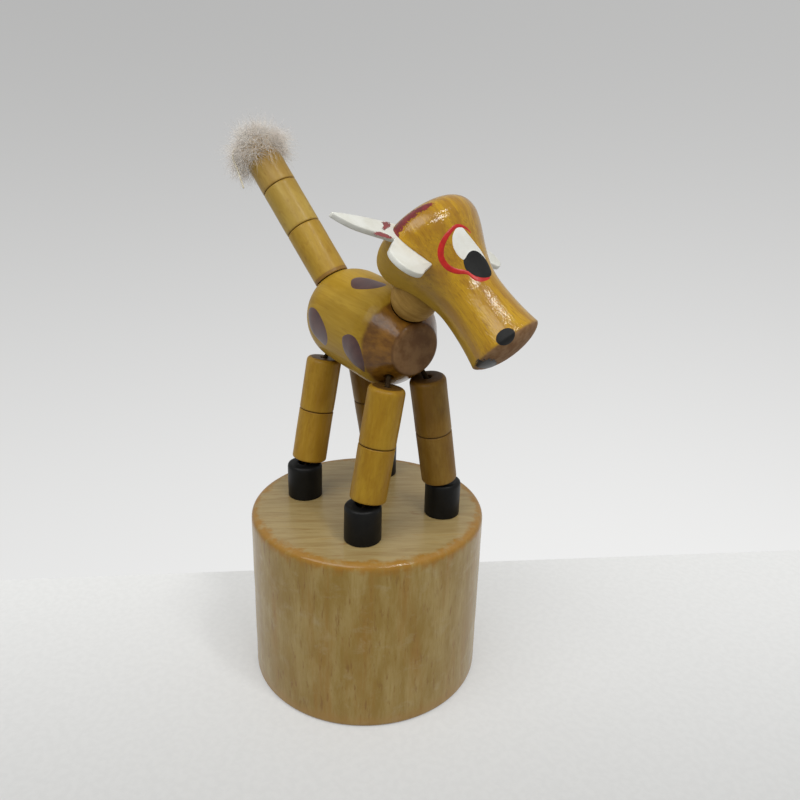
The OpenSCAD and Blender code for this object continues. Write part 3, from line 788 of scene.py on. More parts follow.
def barrelMaterial():
    looks = barrelLooks
    material, tree, shader = principled("barrelVarnish")
    figure = grainOf(tree, looks)
    spot = ownPlace(tree)
    along = put(tree, "SeparateXYZ", {0: spot}).outputs[2]
    ragged = stretched(tree, spot, 31.0, 0.55, 0.2, 3.0)
    edge = calc(tree, "MULTIPLY_ADD", calc(tree, "SUBTRACT", ragged, 0.5), 1.1, along)
    stained = ranged(tree, edge, barrel["stainX"] - 0.35, barrel["stainX"] + 0.35)
    streak = stretched(tree, spot, 33.0, 0.9, 0.12, 4.0)
    stain = blended(tree, ranged(tree, streak, 0.3, 0.7), looks["stainDark"], looks["stain"])
    front = ranged(tree, along, barrel["chestX"] - 0.5, barrel["chestX"] - 0.15)
    discGrain = stretched(tree, spot, 37.0, 0.5, 0.5, 3.0)
    disc = blended(tree, ranged(tree, discGrain, 0.35, 0.65), looks["disc"], looks["discPale"])
    color = blended(tree, stained, figure["Color"], stain)
    color = blended(tree, front, color, disc)
    fromEdge = calc(tree, "ABSOLUTE", calc(tree, "SUBTRACT", along, barrel["chestX"] - 0.33))
    color = blended(tree, ranged(tree, fromEdge, 0.05, 0.25, 0.45, 0.0), color, looks["discEdge"])
    tree.links.new(color, shader.inputs["Base Color"])
    skin = useGroup(tree, varnish, Seed=9.0, Across=1.3, Along=0.18, Peel=1.5)
    bumped(tree, shader, calc(tree, "MULTIPLY_ADD", figure["Fibre"], 0.4, skin["Height"]), 0.2, 0.12)
    gloss = calc(tree, "MULTIPLY_ADD", calc(tree, "SUBTRACT", stained, front), 0.55, 0.2)
    tree.links.new(gloss, shader.inputs["Coat Weight"])
    tree.links.new(calc(tree, "MULTIPLY", skin["Rough"], 0.6), shader.inputs["Coat Roughness"])
    setAll(shader, rough=0.5, shine=0.06)
    return material


rumpSteps = [-barrel["rumpX"] - barrel["r"] * math.cos(math.pi / 2 * i / 40) for i in range(40)]
sideSteps = [mix(-barrel["rumpX"], barrel["shoulderX"], i / 16) for i in range(16)]
shoulderSteps = [mix(barrel["shoulderX"], coneX, i / 14) for i in range(14)]
barrelProfile = [(barrelR(x), x) for x in rumpSteps + sideSteps + shoulderSteps]
barrelProfile[0] = (0, barrelProfile[0][1])
chestR = coneR(barrel["chestX"])
barrelProfile += eased([(coneR(coneX), coneX, 0), (chestR, barrel["chestX"], barrel["chestRound"]),
                        (0, barrel["chestX"], 0)], 0.5)
barrelBody = lathe("barrelBody", barrelProfile, bodyPlace, barrelMaterial(), 144)

# Tail beads stand square on the rump; the root bead is hollowed to sit on its dome
tail = {"d": 6.0, "bore": 2.2, "lengths": (9.1, 8.1, 8.6), "rise": 51.0, "swing": 20.0, "gap": 0.2,
        "between": 0.06, "hollow": 0.65, "ease": 0.3,
        "tints": ((0.77, 0.73, 0.62), (0.79, 0.81, 1.05), (0.73, 0.72, 1.1))}
tailLooks = dict(legLooks, light=(0.60, 0.40, 0.065), dark=(0.46, 0.28, 0.035), dash=(0.34, 0.17, 0.02),
                 dashes=0.3, rim=(0.34, 0.18, 0.02), rimAmount=0.3, paintedEndShade=(0.24, 0.125, 0.025), coat=0.2)
rise, swing = math.radians(tail["rise"]), math.radians(tail["swing"])
tailDir = Vector((-math.cos(rise) * math.cos(swing), -math.cos(rise) * math.sin(swing), math.sin(rise)))
tailStarts = [rumpAt + tailDir * (barrel["r"] + tail["gap"])]
for length in tail["lengths"][:2]:
    tailStarts.append(tailStarts[-1] + tailDir * (length + tail["between"]))
tailEnd = tailStarts[2] + tailDir * tail["lengths"][2]

cutters = [ballCutter(frontMeet, barrel["meetFront"]), ballCutter(rearMeet, barrel["meetRear"]),
           ballCutter(ballAt, neck["d"] / 2 + barrel["seatGap"]),
           rodCutter(ballAt, frontMeet, barrel["bore"]),
           rodCutter(tailStarts[0] + tailDir, rearMeet, barrel["bore"])]
for side in sides.values():
    cutters.append(rodCutter(hipAt(side), frontMeet if side[0] > 0 else rearMeet, barrel["hipBore"]))
carve(barrelBody, cutters)
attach(barrelBody, "body")
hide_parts("barrel_body")

# Spots are outlined by (distance along the body, angle from the top towards the right side)
spotLooks = {"tint": (0.095, 0.040, 0.034), "shade": (0.065, 0.026, 0.026), "grain": 0.8, "dry": 0.0,
             "relief": 0.12, "rough": 0.4, "coat": 0.45, "coatRough": 0.3, "shine": 0.3}
spotPaint = paintMaterial("spotPaint", spotLooks)
spots = {
    "spotTop": [(-2.4, 26.7), (-3.2, 20.4), (-2.9, 12.9), (-1.3, 6.5), (0.8, 3.1), (2.9, 1.9), (3.3, 12.1),
                (2.4, 21.7), (0.5, 29.7), (-1.0, 31.5)],
    "spotHaunch": [(-8.5, 82), (-8.0, 75.5), (-6.1, 73), (-3.8, 79), (-1.9, 90), (-1.6, 102), (-2.9, 113),
                   (-4.3, 111.5), (-6.3, 106), (-7.6, 96)],
    "spotFlank": [(2.7, 89), (3.3, 83), (4.7, 78.7), (6.1, 80.5), (7.0, 90.5), (7.3, 109), (6.8, 125),
                  (6.1, 119.5), (4.6, 112.5), (3.2, 103)],
    "spotLeftHaunch": [(-7.6, -70), (-5.6, -64), (-3.6, -72), (-2.0, -86), (-2.4, -102), (-4.4, -108),
                       (-6.4, -98), (-7.6, -84)],
    "spotLeftFlank": [(0.6, -60), (2.4, -52), (4.2, -60), (5.2, -76), (5.0, -94), (3.6, -104), (1.8, -92),
                      (0.8, -76)],
}
for name, outline in spots.items():
    piece = paintPatch(name, barrelSurface, outline, bodyPlace, spotPaint, 0.05)
    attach(piece, "body")
for number, (start, length) in enumerate(zip(tailStarts, tail["lengths"])):
    name = ("Root", "Middle", "Tip")[number]
    finish = beadMaterial("tail" + name, tailLooks, tail["tints"][number], length, 60.0 + 5 * number)
    hollow = tail["hollow"] if number == 0 else 0.0
    profile = beadProfile(tail["d"], length, tail["bore"], tail["ease"], hollow=hollow)
    place = placed(start, tailDir, Vector((0.3, 1, number)))
    piece = lathe("tail" + name + "Bead", profile, place, finish, 72, closed=True, wobble=0.03,
                  seed=50.0 + number)
    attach(piece, "tail_" + name.lower())
    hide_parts("tail_" + name.lower() + "_bead")
print("body and tail built")

# Head, one turned bobbin from crown to muzzle
skull = {"length": 24.4, "skullR": 8.25, "skullX": 4.1, "waistR": 4.85, "waistX": 15.0, "muzzleR": 5.6,
         "muzzleEnd": 1.8, "holeX": 8.7, "lift": 6.85, "yaw": 19.3, "pitch": 43.8, "roll": 8.6, "crown": 2.6,
         "fall": 0.8, "flare": 2.0, "end": 1.6, "faceX": 22.7, "plugD": 2.6, "plugRoof": 0.9}
headLooks = {"seed": 83.0, "across": 0.75, "along": 0.05, "light": (0.54, 0.305, 0.002),
             "dark": (0.34, 0.162, 0.001), "dash": (0.24, 0.1, 0.001), "dashes": 0.5,
             "under": (0.50, 0.32, 0.05), "face": (0.30, 0.18, 0.105), "faceDark": (0.21, 0.112, 0.062)}
headTurn = turn("Z", skull["yaw"]) @ turn("Y", skull["pitch"]) @ turn("X", -skull["roll"])
headFwd, headUp = headTurn @ forward, headTurn @ upright
muzzleX = skull["length"] - skull["muzzleEnd"]

# Neck ball of bare wood, leaning halfway between the body's seat and the head
neckDir = (seatDir + headUp).normalized()
neckLooks = {"seed": 71.0, "across": 0.10, "along": 0.9, "light": (0.46, 0.28, 0.07),
             "dark": (0.30, 0.16, 0.03), "dash": (0.24, 0.12, 0.03), "dashes": 0.3, "streaks": 2.2,
             "peel": 2.0, "relief": 0.2, "rough": 0.6, "coat": 0.04, "shine": 0.15}
ballR, holeR = neck["d"] / 2, neck["bore"] / 2
tilt = math.asin(holeR / ballR)
ballArc = []
for i in range(49):
    a = mix(tilt, math.pi - tilt, i / 48)
    ballArc.append((ballR * math.sin(a), -ballR * math.cos(a)))
wall = math.sqrt(ballR ** 2 - holeR ** 2)
ballArc += [(holeR, mix(wall, -wall, i / 8)) for i in range(1, 8)]
neckBall = lathe("neckBall", ballArc, placed(ballAt, neckDir, Vector((1, -0.4, 0))),
                 woodMaterial("neckWood", neckLooks), 96, closed=True)
neckBall.data.set_sharp_from_angle(angle=math.radians(40))
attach(neckBall, "neck")
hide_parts("neck_ball")


def headR(t):
    # The head's radius at a distance from its crown
    s = skull
    t = min(max(t, 0.0), s["length"])
    if t < s["skullX"]:
        return s["skullR"] * max(1 - (1 - t / s["skullX"]) ** s["crown"], 0) ** (1 / s["crown"])
    if t < s["waistX"]:
        share = ((t - s["skullX"]) / (s["waistX"] - s["skullX"])) ** s["fall"]
        return s["waistR"] + (s["skullR"] - s["waistR"]) * (1 + math.cos(math.pi * share)) / 2
    if t < muzzleX:
        share = (t - s["waistX"]) / (muzzleX - s["waistX"])
        return s["waistR"] + (s["muzzleR"] - s["waistR"]) * share ** s["flare"]
    return s["muzzleR"] * math.sqrt(max(1 - ((t - muzzleX) / s["muzzleEnd"]) ** s["end"], 0))


def headSurface(t, angle, lift):
    return revolved(headR, t, angle, lift)


crownAt = ballAt - headFwd * skull["holeX"] + headUp * skull["lift"]
headPlace = placed(crownAt, headFwd, headUp)
headSteps = [skull["skullX"] * (i / 26) ** 2 for i in range(26)]
headSteps += [mix(skull["skullX"], skull["waistX"], i / 40) for i in range(40)]
headSteps += [mix(skull["waistX"], muzzleX, i / 24) for i in range(24)]
headSteps += [skull["length"] - skull["muzzleEnd"] * (1 - i / 26) ** 2 for i in range(27)]
headProfile = [(headR(t), t) for t in headSteps]
headProfile[0], headProfile[-1] = (0, 0), (0, skull["length"])


def headMaterial():
    looks = headLooks
    material, tree, shader = principled("headVarnish")
    figure = grainOf(tree, looks)
    spot = ownPlace(tree)
    apart = put(tree, "SeparateXYZ", {0: spot}).outputs
    # Painted reflected light: the head's underside is given a paler, greyer, duller tone for the floor's
    # light reflected onto it
    patchy = stretched(tree, spot, 91.0, 0.35, 0.2, 3.0)
    low = calc(tree, "MULTIPLY_ADD", calc(tree, "SUBTRACT", patchy, 0.5), 3.0, apart[0])
    under = opposite(tree, ranged(tree, low, -4.6, -1.2))
    color = blended(tree, calc(tree, "MULTIPLY", under, 0.75), figure["Color"], looks["under"])
    faceGrain = stretched(tree, spot, 95.0, 0.9, 0.9, 4.0)
    face = blended(tree, ranged(tree, faceGrain, 0.35, 0.65), looks["faceDark"], looks["face"])
    front = ranged(tree, apart[2], skull["faceX"] - 0.25, skull["faceX"] + 0.25)
    color = blended(tree, calc(tree, "MULTIPLY", front, 0.9), color, face)
    tree.links.new(color, shader.inputs["Base Color"])
    skin = useGroup(tree, varnish, Seed=97.0, Across=2.1, Along=0.2, Peel=2.0)
    bumped(tree, shader, calc(tree, "MULTIPLY_ADD", figure["Fibre"], 0.5, skin["Height"]), 0.45, 0.12)
    shiny = opposite(tree, calc(tree, "MAXIMUM", under, front))
    tree.links.new(calc(tree, "MULTIPLY_ADD", shiny, 0.9, 0.02), shader.inputs["Coat Weight"])
    tree.links.new(calc(tree, "MULTIPLY", skin["Rough"], 0.36), shader.inputs["Coat Roughness"])
    tree.links.new(calc(tree, "MULTIPLY_ADD", front, 0.35, 0.45), shader.inputs["Roughness"])
    setAll(shader, shine=0.08)
    return material


# Horns and ears: one thin sheet in a saw cut across the back of the head
sheet = {"thick": 0.8, "ease": 0.16, "depth": 8.65, "tilt": 10.0, "shift": 0.9, "gap": 0.05, "hornBack": 1.9,
         "hornReach": 19.2, "hornTip": 0.3, "hornRoot": (0.6, 4.2), "fork": (3.3, 10.1), "earX": 7.6,
         "earR": 2.75, "earReach": 12.7, "earRoot": (8.6, 6.6), "earArc": -34.0,
         "earReachLeft": 14.7, "earRootLeft": (8.0, 6.8), "earArcLeft": -60.0}
kerf = {"back": 14.0, "half": 12.0, "ease": 0.02}
cardLooks = {"tint": (0.75, 0.75, 0.69), "shade": (0.68, 0.67, 0.59), "grain": 0.35, "dry": 0.0,
             "relief": 0.1, "rough": 0.5, "coat": 0.1, "coatRough": 0.35, "shine": 0.3}
sheetTurn = headTurn @ turn("Y", -sheet["tilt"])
sheetFwd, sheetLeft, sheetUp = (sheetTurn @ v for v in (forward, leftward, upright))
kerfAt = ballAt + headTurn @ Vector((skull["skullX"] + 1 - skull["holeX"], 0, skull["lift"]))
sheetAt = kerfAt - sheetFwd * (skull["skullX"] + 1) + sheetLeft * sheet["shift"]
sheetPlace = placed(sheetAt, sheetUp, sheetFwd)


def sheetHalf(reach, lastAngle, root):
    # The sheet's frame has X forward and Y to the animal's left
    s = sheet
    half = []
    for i in range(13):
        v = i / 12
        half.append((mix(s["hornRoot"][0], 0, v) - s["hornBack"] * math.sin(math.pi / 2 * v),
                     mix(s["hornRoot"][1], s["hornReach"], v)))
    for i in range(12, -1, -1):
        v = i / 12
        back = s["fork"][0] * (1 - v) - s["hornBack"] * v ** 8
        half.append((back + (s["hornTip"] if i == 12 else 0), mix(s["fork"][1], s["hornReach"], v)))
    for i in range(25):
        a = math.radians(mix(160, lastAngle, i / 24))
        half.append((s["earX"] + s["earR"] * math.cos(a), reach + s["earR"] * math.sin(a)))
    half.append(root)
    return half


def slab(name, outline, thick, ease, matrix, material):
    work = bmesh.new()
    low = [work.verts.new((x * mm, y * mm, -thick / 2 * mm)) for x, y in outline]
    top = work.faces.new(low)
    made = bmesh.ops.extrude_face_region(work, geom=[top])
    raised = [v for v in made["geom"] if isinstance(v, bmesh.types.BMVert)]
    bmesh.ops.translate(work, verts=raised, vec=(0, 0, thick * mm))
    bmesh.ops.recalc_face_normals(work, faces=work.faces)
    flatEdges = [e for e in work.edges if abs(e.verts[0].co.z - e.verts[1].co.z) < 1e-6]
    bmesh.ops.bevel(work, geom=flatEdges, offset=ease * mm, segments=3, profile=0.5, affect="EDGES")
    mesh = bpy.data.meshes.new(name)
    work.to_mesh(mesh)
    work.free()
    mesh.materials.append(material)
    mesh.polygons.foreach_set("use_smooth", [True] * len(mesh.polygons))
    mesh.set_sharp_from_angle(angle=math.radians(35))
    obj = bpy.data.objects.new(name, mesh)
    bpy.context.scene.collection.objects.link(obj)
    obj.matrix_world = matrix
    return obj


outline = sheetHalf(sheet["earReachLeft"], sheet["earArcLeft"], sheet["earRootLeft"])
rightHalf = sheetHalf(sheet["earReach"], sheet["earArc"], sheet["earRoot"])
outline += [(x, -y) for x, y in reversed(rightHalf)]
hornsAndEars = slab("hornsAndEars", outline, sheet["thick"], sheet["ease"], sheetPlace,
                    paintMaterial("cardPaint", cardLooks))
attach(hornsAndEars, "skull")
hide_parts("horns_and_ears")

headPiece = lathe("headBobbin", headProfile, headPlace, headMaterial(), 168)
kerfBox = [(-kerf["back"], -kerf["half"]), (sheet["depth"], -kerf["half"]),
           (sheet["depth"], kerf["half"]), (-kerf["back"], kerf["half"])]
kerfCutter = slab("kerfCutter", kerfBox, sheet["thick"] + 2 * sheet["gap"], kerf["ease"],
                  placed(sheetAt - sheetLeft * sheet["shift"], sheetUp, sheetFwd), None)
plugTop = skull["lift"] - sheet["gap"] - sheet["thick"] / 2 - skull["plugRoof"]
carve(headPiece, [kerfCutter, ballCutter(ballAt, ballR + barrel["seatGap"]),
                  rodCutter(ballAt, ballAt + headUp * plugTop, skull["plugD"])], 32)
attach(headPiece, "skull")
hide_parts("head")
plugLooks = dict(neckLooks, seed=75.0)
plug = frame["nodes"]["head_plug"]
plug.data.materials.clear()
plug.data.materials.append(woodMaterial("plugWood", plugLooks))
print("neck, head and sheet built")


def markPaint(name, tint, shade, dry=0.0, rough=0.4, coat=0.25):
    return paintMaterial(name, {"tint": tint, "shade": shade, "grain": 1.1, "dry": dry, "relief": 0.15,
                                "rough": rough, "coat": coat, "coatRough": 0.25, "shine": 0.3})


# Painted marks of the head
white = markPaint("eyeWhite", (0.81, 0.81, 0.75), (0.77, 0.76, 0.69))
red = markPaint("redPaint", (0.56, 0.016, 0.012), (0.42, 0.010, 0.008))
dryRed = markPaint("dryRedPaint", (0.28, 0.022, 0.016), (0.14, 0.012, 0.010), 1.05)
hornRed = markPaint("hornRedPaint", (0.30, 0.022, 0.022), (0.17, 0.014, 0.014), 0.6)
black = markPaint("blackPaint", (0.008, 0.008, 0.007), (0.004, 0.004, 0.004), 0.0, 0.6, 0.0)
dryBlack = markPaint("dryBlackPaint", (0.030, 0.028, 0.025), (0.006, 0.006, 0.006), 0.5, 0.45, 0.1)


def headMetric(t):
    # Millimetres to a degree round the head
    return math.radians(1) * headR(t)


def oval(centre, half, tilt=0.0):
    # Half sizes are in millimetres, along the head and round it
    c, s = math.cos(math.radians(tilt)), math.sin(math.radians(tilt))
    found = []
    for i in range(14):
        a = 2 * math.pi * i / 14
        u, v = half[0] * math.cos(a), half[1] * math.sin(a)
        t = centre[0] + u * c - v * s
        found.append((t, centre[1] + (u * s + v * c) / headMetric(t)))
    return found


# Places on the head are (distance from the crown, angle from the top towards the right side)
eye = {"line": [(8.6, 15), (7.6, 20.2), (6.85, 27), (6.5, 35), (6.75, 45), (7.25, 55), (8.0, 63.5),
                (9.0, 68.5), (10.2, 68.3), (11.25, 62), (11.95, 52.5), (12.5, 47), (13.25, 43.5),
                (13.9, 35.3), (14.1, 21), (13.85, 9)],
       "lineWidths": [0.25, 0.3, 0.4, 0.5, 0.6, 0.75, 0.9, 0.9, 0.85, 0.75, 0.6, 0.55, 0.7, 0.85, 0.75, 0.4],
       "white": [(6.6, 33), (6.75, 38), (7.4, 45), (8.6, 49.5), (9.8, 49), (10.7, 44.5), (11.6, 36),
                 (12.1, 20), (12.0, 2), (10.6, 6.5), (9.2, 16), (7.9, 23.3), (6.95, 27.7)],
       "pupil": ((11.95, 25.0), (2.5, 2.0), -47.0), "nostril": ((22.4, 61.5), (1.05, 1.45), 0.0),
       "leftTurn": 30.0}


def leftSide(points):
    # The animal's left is painted a little further round than its right
    return [(t, -eye["leftTurn"] - a) for t, a in points]


def rightSide(points):
    return points


for label, moved in (("Right", rightSide), ("Left", leftSide)):
    marks = [paintStroke("eyeLine" + label, headSurface, moved(eye["line"]), eye["lineWidths"], headPlace,
                         red, 0.04, headMetric),
             paintPatch("eyeWhite" + label, headSurface, moved(eye["white"]), headPlace, white, 0.055),
             paintPatch("pupil" + label, headSurface, moved(oval(*eye["pupil"])), headPlace, black, 0.085),
             paintPatch("nostril" + label, headSurface, moved(oval(*eye["nostril"])), headPlace, black, 0.05)]
    for mark in marks:
        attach(mark, "skull")


def muzzleSurface(r, angle, lift):
    # A point of the muzzle's end face, r from the head's axis; beyond the rim it runs on up the side
    if r > skull["muzzleR"]:
        return headSurface(muzzleX - (r - skull["muzzleR"]), angle, lift)
    share = r / skull["muzzleR"]
    t = muzzleX + skull["muzzleEnd"] * (1 - share ** 2) ** (1 / skull["end"])
    a = math.radians(angle)
    out = r + lift * share ** 6
    return Vector((out * math.cos(a), out * math.sin(a), t + lift))


# Places on the muzzle's end face are (distance from the axis, angle)
mouthShape = [(5.9, 112), (5.2, 101), (3.9, 101), (2.6, 122), (2.4, 165), (3.2, 182), (4.2, 156), (5.4, 137),
              (5.9, 124)]
mouth = paintPatch("mouth", muzzleSurface, mouthShape, headPlace, dryBlack, 0.04)
chinShape = [(5.3, 148), (4.9, 143), (4.6, 152), (5.0, 160)]
chinDot = paintPatch("chinDot", muzzleSurface, chinShape, headPlace, dryRed, 0.03)
mane = {"line": [(2.6, 99), (2.2, 90), (1.9, 80), (1.75, 70), (1.8, 59), (2.0, 49), (2.2, 39)],
        "widths": [1.3, 2.2, 2.0, 1.7, 1.6, 1.4, 0.6], "thick": 0.035}
maneRed = markPaint("maneRedPaint", (0.23, 0.022, 0.022), (0.13, 0.012, 0.012), 0.85)
maneRight = paintStroke("maneStroke", headSurface, mane["line"], mane["widths"], headPlace, maneRed,
                        mane["thick"], headMetric)
maneLeft = paintStroke("maneStrokeLeft", headSurface, leftSide(mane["line"]), mane["widths"], headPlace,
                       maneRed, mane["thick"], headMetric)
for mark in (mouth, chinDot, maneRight, maneLeft):
    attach(mark, "skull")


def sheetSurface(x, y, lift):
    return Vector((x, y, sheet["thick"] / 2 + lift))


hornMarks = {
    "hornScribbleUpper": [(-0.1, -9.2), (-0.3, -7.5), (0.0, -6.8), (0.75, -7.5), (1.4, -9.4), (1.9, -11.1),
                          (1.5, -11.3), (0.7, -9.8)],
    "hornScribbleLow": [(2.3, -15.0), (1.85, -13.0), (2.4, -11.2), (3.1, -10.4), (3.6, -10.6), (3.5, -11.9),
                        (2.75, -14.4)],
    "hornScribbleRoot": [(0.9, -6.4), (0.5, -4.5), (1.5, -5.1), (3.0, -8.7), (1.9, -8.0)],
}
for name, shape in hornMarks.items():
    piece = paintPatch(name, sheetSurface, shape, sheetPlace, hornRed, 0.03)
    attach(piece, "skull")
print("paint marks laid")

# Threads, in short pieces across the joints
thread = {"d": 0.8, "gap": 0.48, "holeR": 10.0, "buttonLow": 5.0, "buttonTop": 10.0, "travel": 9.0,
          "reach": 2.5, "stub": 1.6, "hoofDeep": 1.5, "tailDeep": 4.0}


def cottonMaterial(name, tint, shade):
    material, tree, shader = principled(name)
    plies = useGroup(tree, paint, Tint=tint, Shade=shade, Grain=2.5, Dry=0.0)
    tree.links.new(plies["Color"], shader.inputs["Base Color"])
    bumped(tree, shader, plies["Height"], 0.3, 0.05)
    setAll(shader, rough=0.85, shine=0.1)
    return material


# Painted shade: the threads inside the toy are coloured near black for the shadow they lie in at the hips and
# in the bores; the knot and loose end keep the thread's own cream
shadedCotton = cottonMaterial("paintedShadeThread", (0.045, 0.027, 0.011), (0.022, 0.013, 0.006))
creamCotton = cottonMaterial("creamThread", (0.80, 0.76, 0.62), (0.64, 0.58, 0.44))


def bent(name, routes, a, b):
    piece = tube(name, routes, thread["d"], shadedCotton)
    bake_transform(piece)
    return piece


def buttonHole(side):
    spot = hoofAt(side)
    return Vector((spot.x, spot.y, 0)).normalized() * thread["holeR"]


def lifted(spot, z):
    return Vector((spot.x, spot.y, z))


low, top = thread["buttonLow"] + thread["d"] / 2, thread["buttonTop"]
for end in (1, -1):
    right, left = buttonHole((end, -1)), buttonHole((end, 1))
    route = fine([lifted(right, top), lifted(right, low), lifted(left, low), lifted(left, top)], 0.3)
    loop = tube(("front" if end > 0 else "rear") + "ThreadLoop", [route], thread["d"], shadedCotton)
    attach(loop, "button")
    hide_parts("front_thread" if end > 0 else "rear_thread")
hoofZ = drum["h"] + hoof["h"]
for name, side in sides.items():
    spot, hole, foot, lift = hoofAt(side), buttonHole(side), footAt(side), legDir(side)
    strand = tube(name + "Strand", [fine([lifted(hole, top), lifted(spot, ceilingZ)])], thread["d"], shadedCotton)
    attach(strand, "base")
    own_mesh(strand)
    inHoof = lifted(spot, hoofZ - thread["hoofDeep"])
    crossing = fine([lifted(spot, ceilingZ), inHoof, foot + lift * 1.2, foot + lift * 3.4], 0.3)
    bent(name + "AnkleThread", [crossing], "base", cadName(name) + "_shin")
    knee = foot + lift * (leg["lower"] + leg["gap"] / 2)
    if name == "frontRight":
        route = fine([knee - lift * thread["reach"], knee + lift * thread["reach"]], 0.3)
        bent(name + "KneeThread", [route], "front_right_shin", "front_right_thigh")
    else:
        # These knees are opened pivots, so the thread ends inside the upper leg
        route = fine([knee - lift * thread["reach"], knee + lift * thread["stub"]], 0.3)
        stub = tube(name + "KneeThread", [route], thread["d"], shadedCotton)
        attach(stub, cadName(name) + "_shin")
    hip = hipAt(side)
    meet = frontMeet if side[0] > 0 else rearMeet
    inside = (meet - hip).normalized()
    route = fine([hip - lift * thread["reach"], hip, hip + inside * 3.0], 0.25)
    bent(name + "HipThread", [route], cadName(name) + "_thigh", "body")


def pair(points, spread):
    # Two strands side by side
    return [fine([p + spread * s for p in points], 0.3) for s in (-thread["gap"], thread["gap"])]


bent("neckThreadLow", pair([frontMeet + seatDir * 1.5, ballAt], leftward), "body", "neck")
bent("neckThreadHigh", pair([ballAt, ballAt + headUp * (plugTop - 2.0)], leftward), "neck", "skull")
tailSide = tailDir.orthogonal().normalized()
tailBodies = ("body", "tail_root", "tail_middle", "tail_tip")
for number, start in enumerate(tailStarts):
    reachIn = thread["tailDeep"] if number == 0 else thread["reach"]
    strands = pair([start - tailDir * reachIn, start + tailDir * thread["reach"]], tailSide)
    bent("tailThread" + str(number + 1), strands, tailBodies[number], tailBodies[number + 1])
print("threads strung")

# Return spring inside the base
spring = {"coilD": 12.0, "wire": 0.8, "turns": 4.5, "low": 10.05, "high": 24.95, "stepsPerTurn": 40}
steel, tree, shader = principled("springSteel")
scale = useGroup(tree, paint, Tint=(0.62, 0.60, 0.57), Shade=(0.42, 0.40, 0.37), Grain=1.0, Dry=0.0)
tree.links.new(scale["Color"], shader.inputs["Base Color"])
setAll(shader, rough=0.32, metal=1.0)
coil = []
coilR = spring["coilD"] / 2
steps = int(spring["turns"] * spring["stepsPerTurn"])
for i in range(steps + 1):
    a = 2 * math.pi * i / spring["stepsPerTurn"]
    climb = mix(spring["low"] + spring["wire"] / 2, spring["high"] - spring["wire"] / 2, i / steps)
    coil.append(Vector((coilR * math.cos(a), coilR * math.sin(a), climb)))
returnSpring = tube("returnSpring", [coil], spring["wire"], steel, 14, 0.0, None, 0)
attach(returnSpring, "base")
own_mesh(returnSpring)
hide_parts("return_spring")

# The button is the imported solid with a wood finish
buttonLooks = {"seed": 111.0, "across": 0.3, "along": 0.04, "light": (0.60, 0.44, 0.22),
               "dark": (0.46, 0.31, 0.13), "dash": (0.34, 0.18, 0.06), "dashes": 0.5, "streaks": 1.0,
               "peel": 1.5, "relief": 0.15, "rough": 0.6, "coat": 0.05, "shine": 0.2}
button = frame["nodes"]["push_button"]
button.data.materials.clear()
button.data.materials.append(woodMaterial("buttonWood", buttonLooks))
print("spring and button finished")

# Tuft of loose fur, tied by a knot at the tail's tip
tuft = {"strands": 4800, "knotD": 2.8, "reach": (1.8, 3.7), "width": 0.055, "seed": 5, "low": -3.3,
        "high": 1.7, "outside": 1.3, "droop": 0.07, "cover": 0.4}
fur, tree, shader = principled("tuftFur")
tone = useGroup(tree, paint, Tint=(1.0, 0.96, 0.90), Shade=(0.93, 0.86, 0.79), Grain=0.4, Dry=0.0)
tree.links.new(tone["Color"], shader.inputs["Base Color"])
setAll(shader, rough=0.8, shine=0.1)
shader.inputs["Alpha"].default_value = tuft["cover"]
dice = random.Random(tuft["seed"])
noise.seed_set(tuft["seed"])
tailSideB = tailDir.cross(tailSide)
knotR = tuft["knotD"] / 2
knotAt = tailEnd + tailDir * (knotR + tail["between"])


def hair():
    # Each hair starts in fluff that wraps the end of the bead, and curls and droops
    a = dice.uniform(0, 2 * math.pi)
    out = tailSide * math.cos(a) + tailSideB * math.sin(a)
    place = dice.uniform(tuft["low"], tuft["high"])
    beadR = tail["d"] / 2
    if place < 0:
        root = tailEnd + tailDir * place + out * (beadR + 0.05 + tuft["outside"] * dice.random() ** 1.5)
    else:
        inward = math.sqrt(dice.random())
        root = tailEnd + tailDir * (place + 0.1) + out * beadR * 1.2 * inward * (1 - 0.2 * place)
    spread = (root - tailEnd + tailDir * 1.2).normalized()
    turned = Vector((dice.gauss(0, 1), dice.gauss(0, 1), dice.gauss(0, 1)))
    length = dice.uniform(*tuft["reach"])
    line, p, d = [], root, (spread * 0.9 + turned * 0.6).normalized()
    for i in range(8):
        line.append(p)
        curl = noise.noise_vector(p * 0.5) * 0.3
        d = (d + curl + turned * 0.06 + Vector((0, 0, -tuft["droop"]))).normalized()
        p = p + d * length / 7
    return line


def thinning(t):
    return 1.0 - 0.75 * t


hairs = [hair() for _ in range(tuft["strands"])]
tuftPiece = tube("tailTuft", hairs, tuft["width"], fur, 3, 0.0, thinning, 0)
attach(tuftPiece, "tail_tip")
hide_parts("tail_tuft")
# The knot's thread winds round the tail's line while it loops in and out
winding = {"points": 76, "pointsPerTurn": 90, "rounds": 2.4, "loops": 5, "wide": 0.62, "swell": 0.2,
           "rise": 0.55}
turns = []
for i in range(winding["points"]):
    a = 2 * math.pi * i / winding["pointsPerTurn"]
    out = winding["wide"] + winding["swell"] * math.cos(winding["loops"] * a)
    around = winding["rounds"] * a
    wound = tailSide * math.cos(around) * out + tailSideB * math.sin(around) * out
    turns.append(knotAt + (wound + tailDir * math.sin(winding["loops"] * a) * winding["rise"]) * knotR)
knot = tube("tailKnot", [turns], thread["d"], creamCotton, 10, 1.2)
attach(knot, "tail_tip")
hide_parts("tail_knot")
looseLine = [(-25.6, -8.0, 89.2), (-26.0, -10.4, 88.3), (-25.4, -10.9, 86.9), (-24.7, -10.5, 85.4),
             (-23.9, -10.4, 84.0), (-23.1, -10.2, 82.3)]
loose = tube("looseThread", [fine(looseLine, 0.25)], 0.3, creamCotton, 8, 3.0)
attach(loose, "tail_tip")
print("tuft tied")

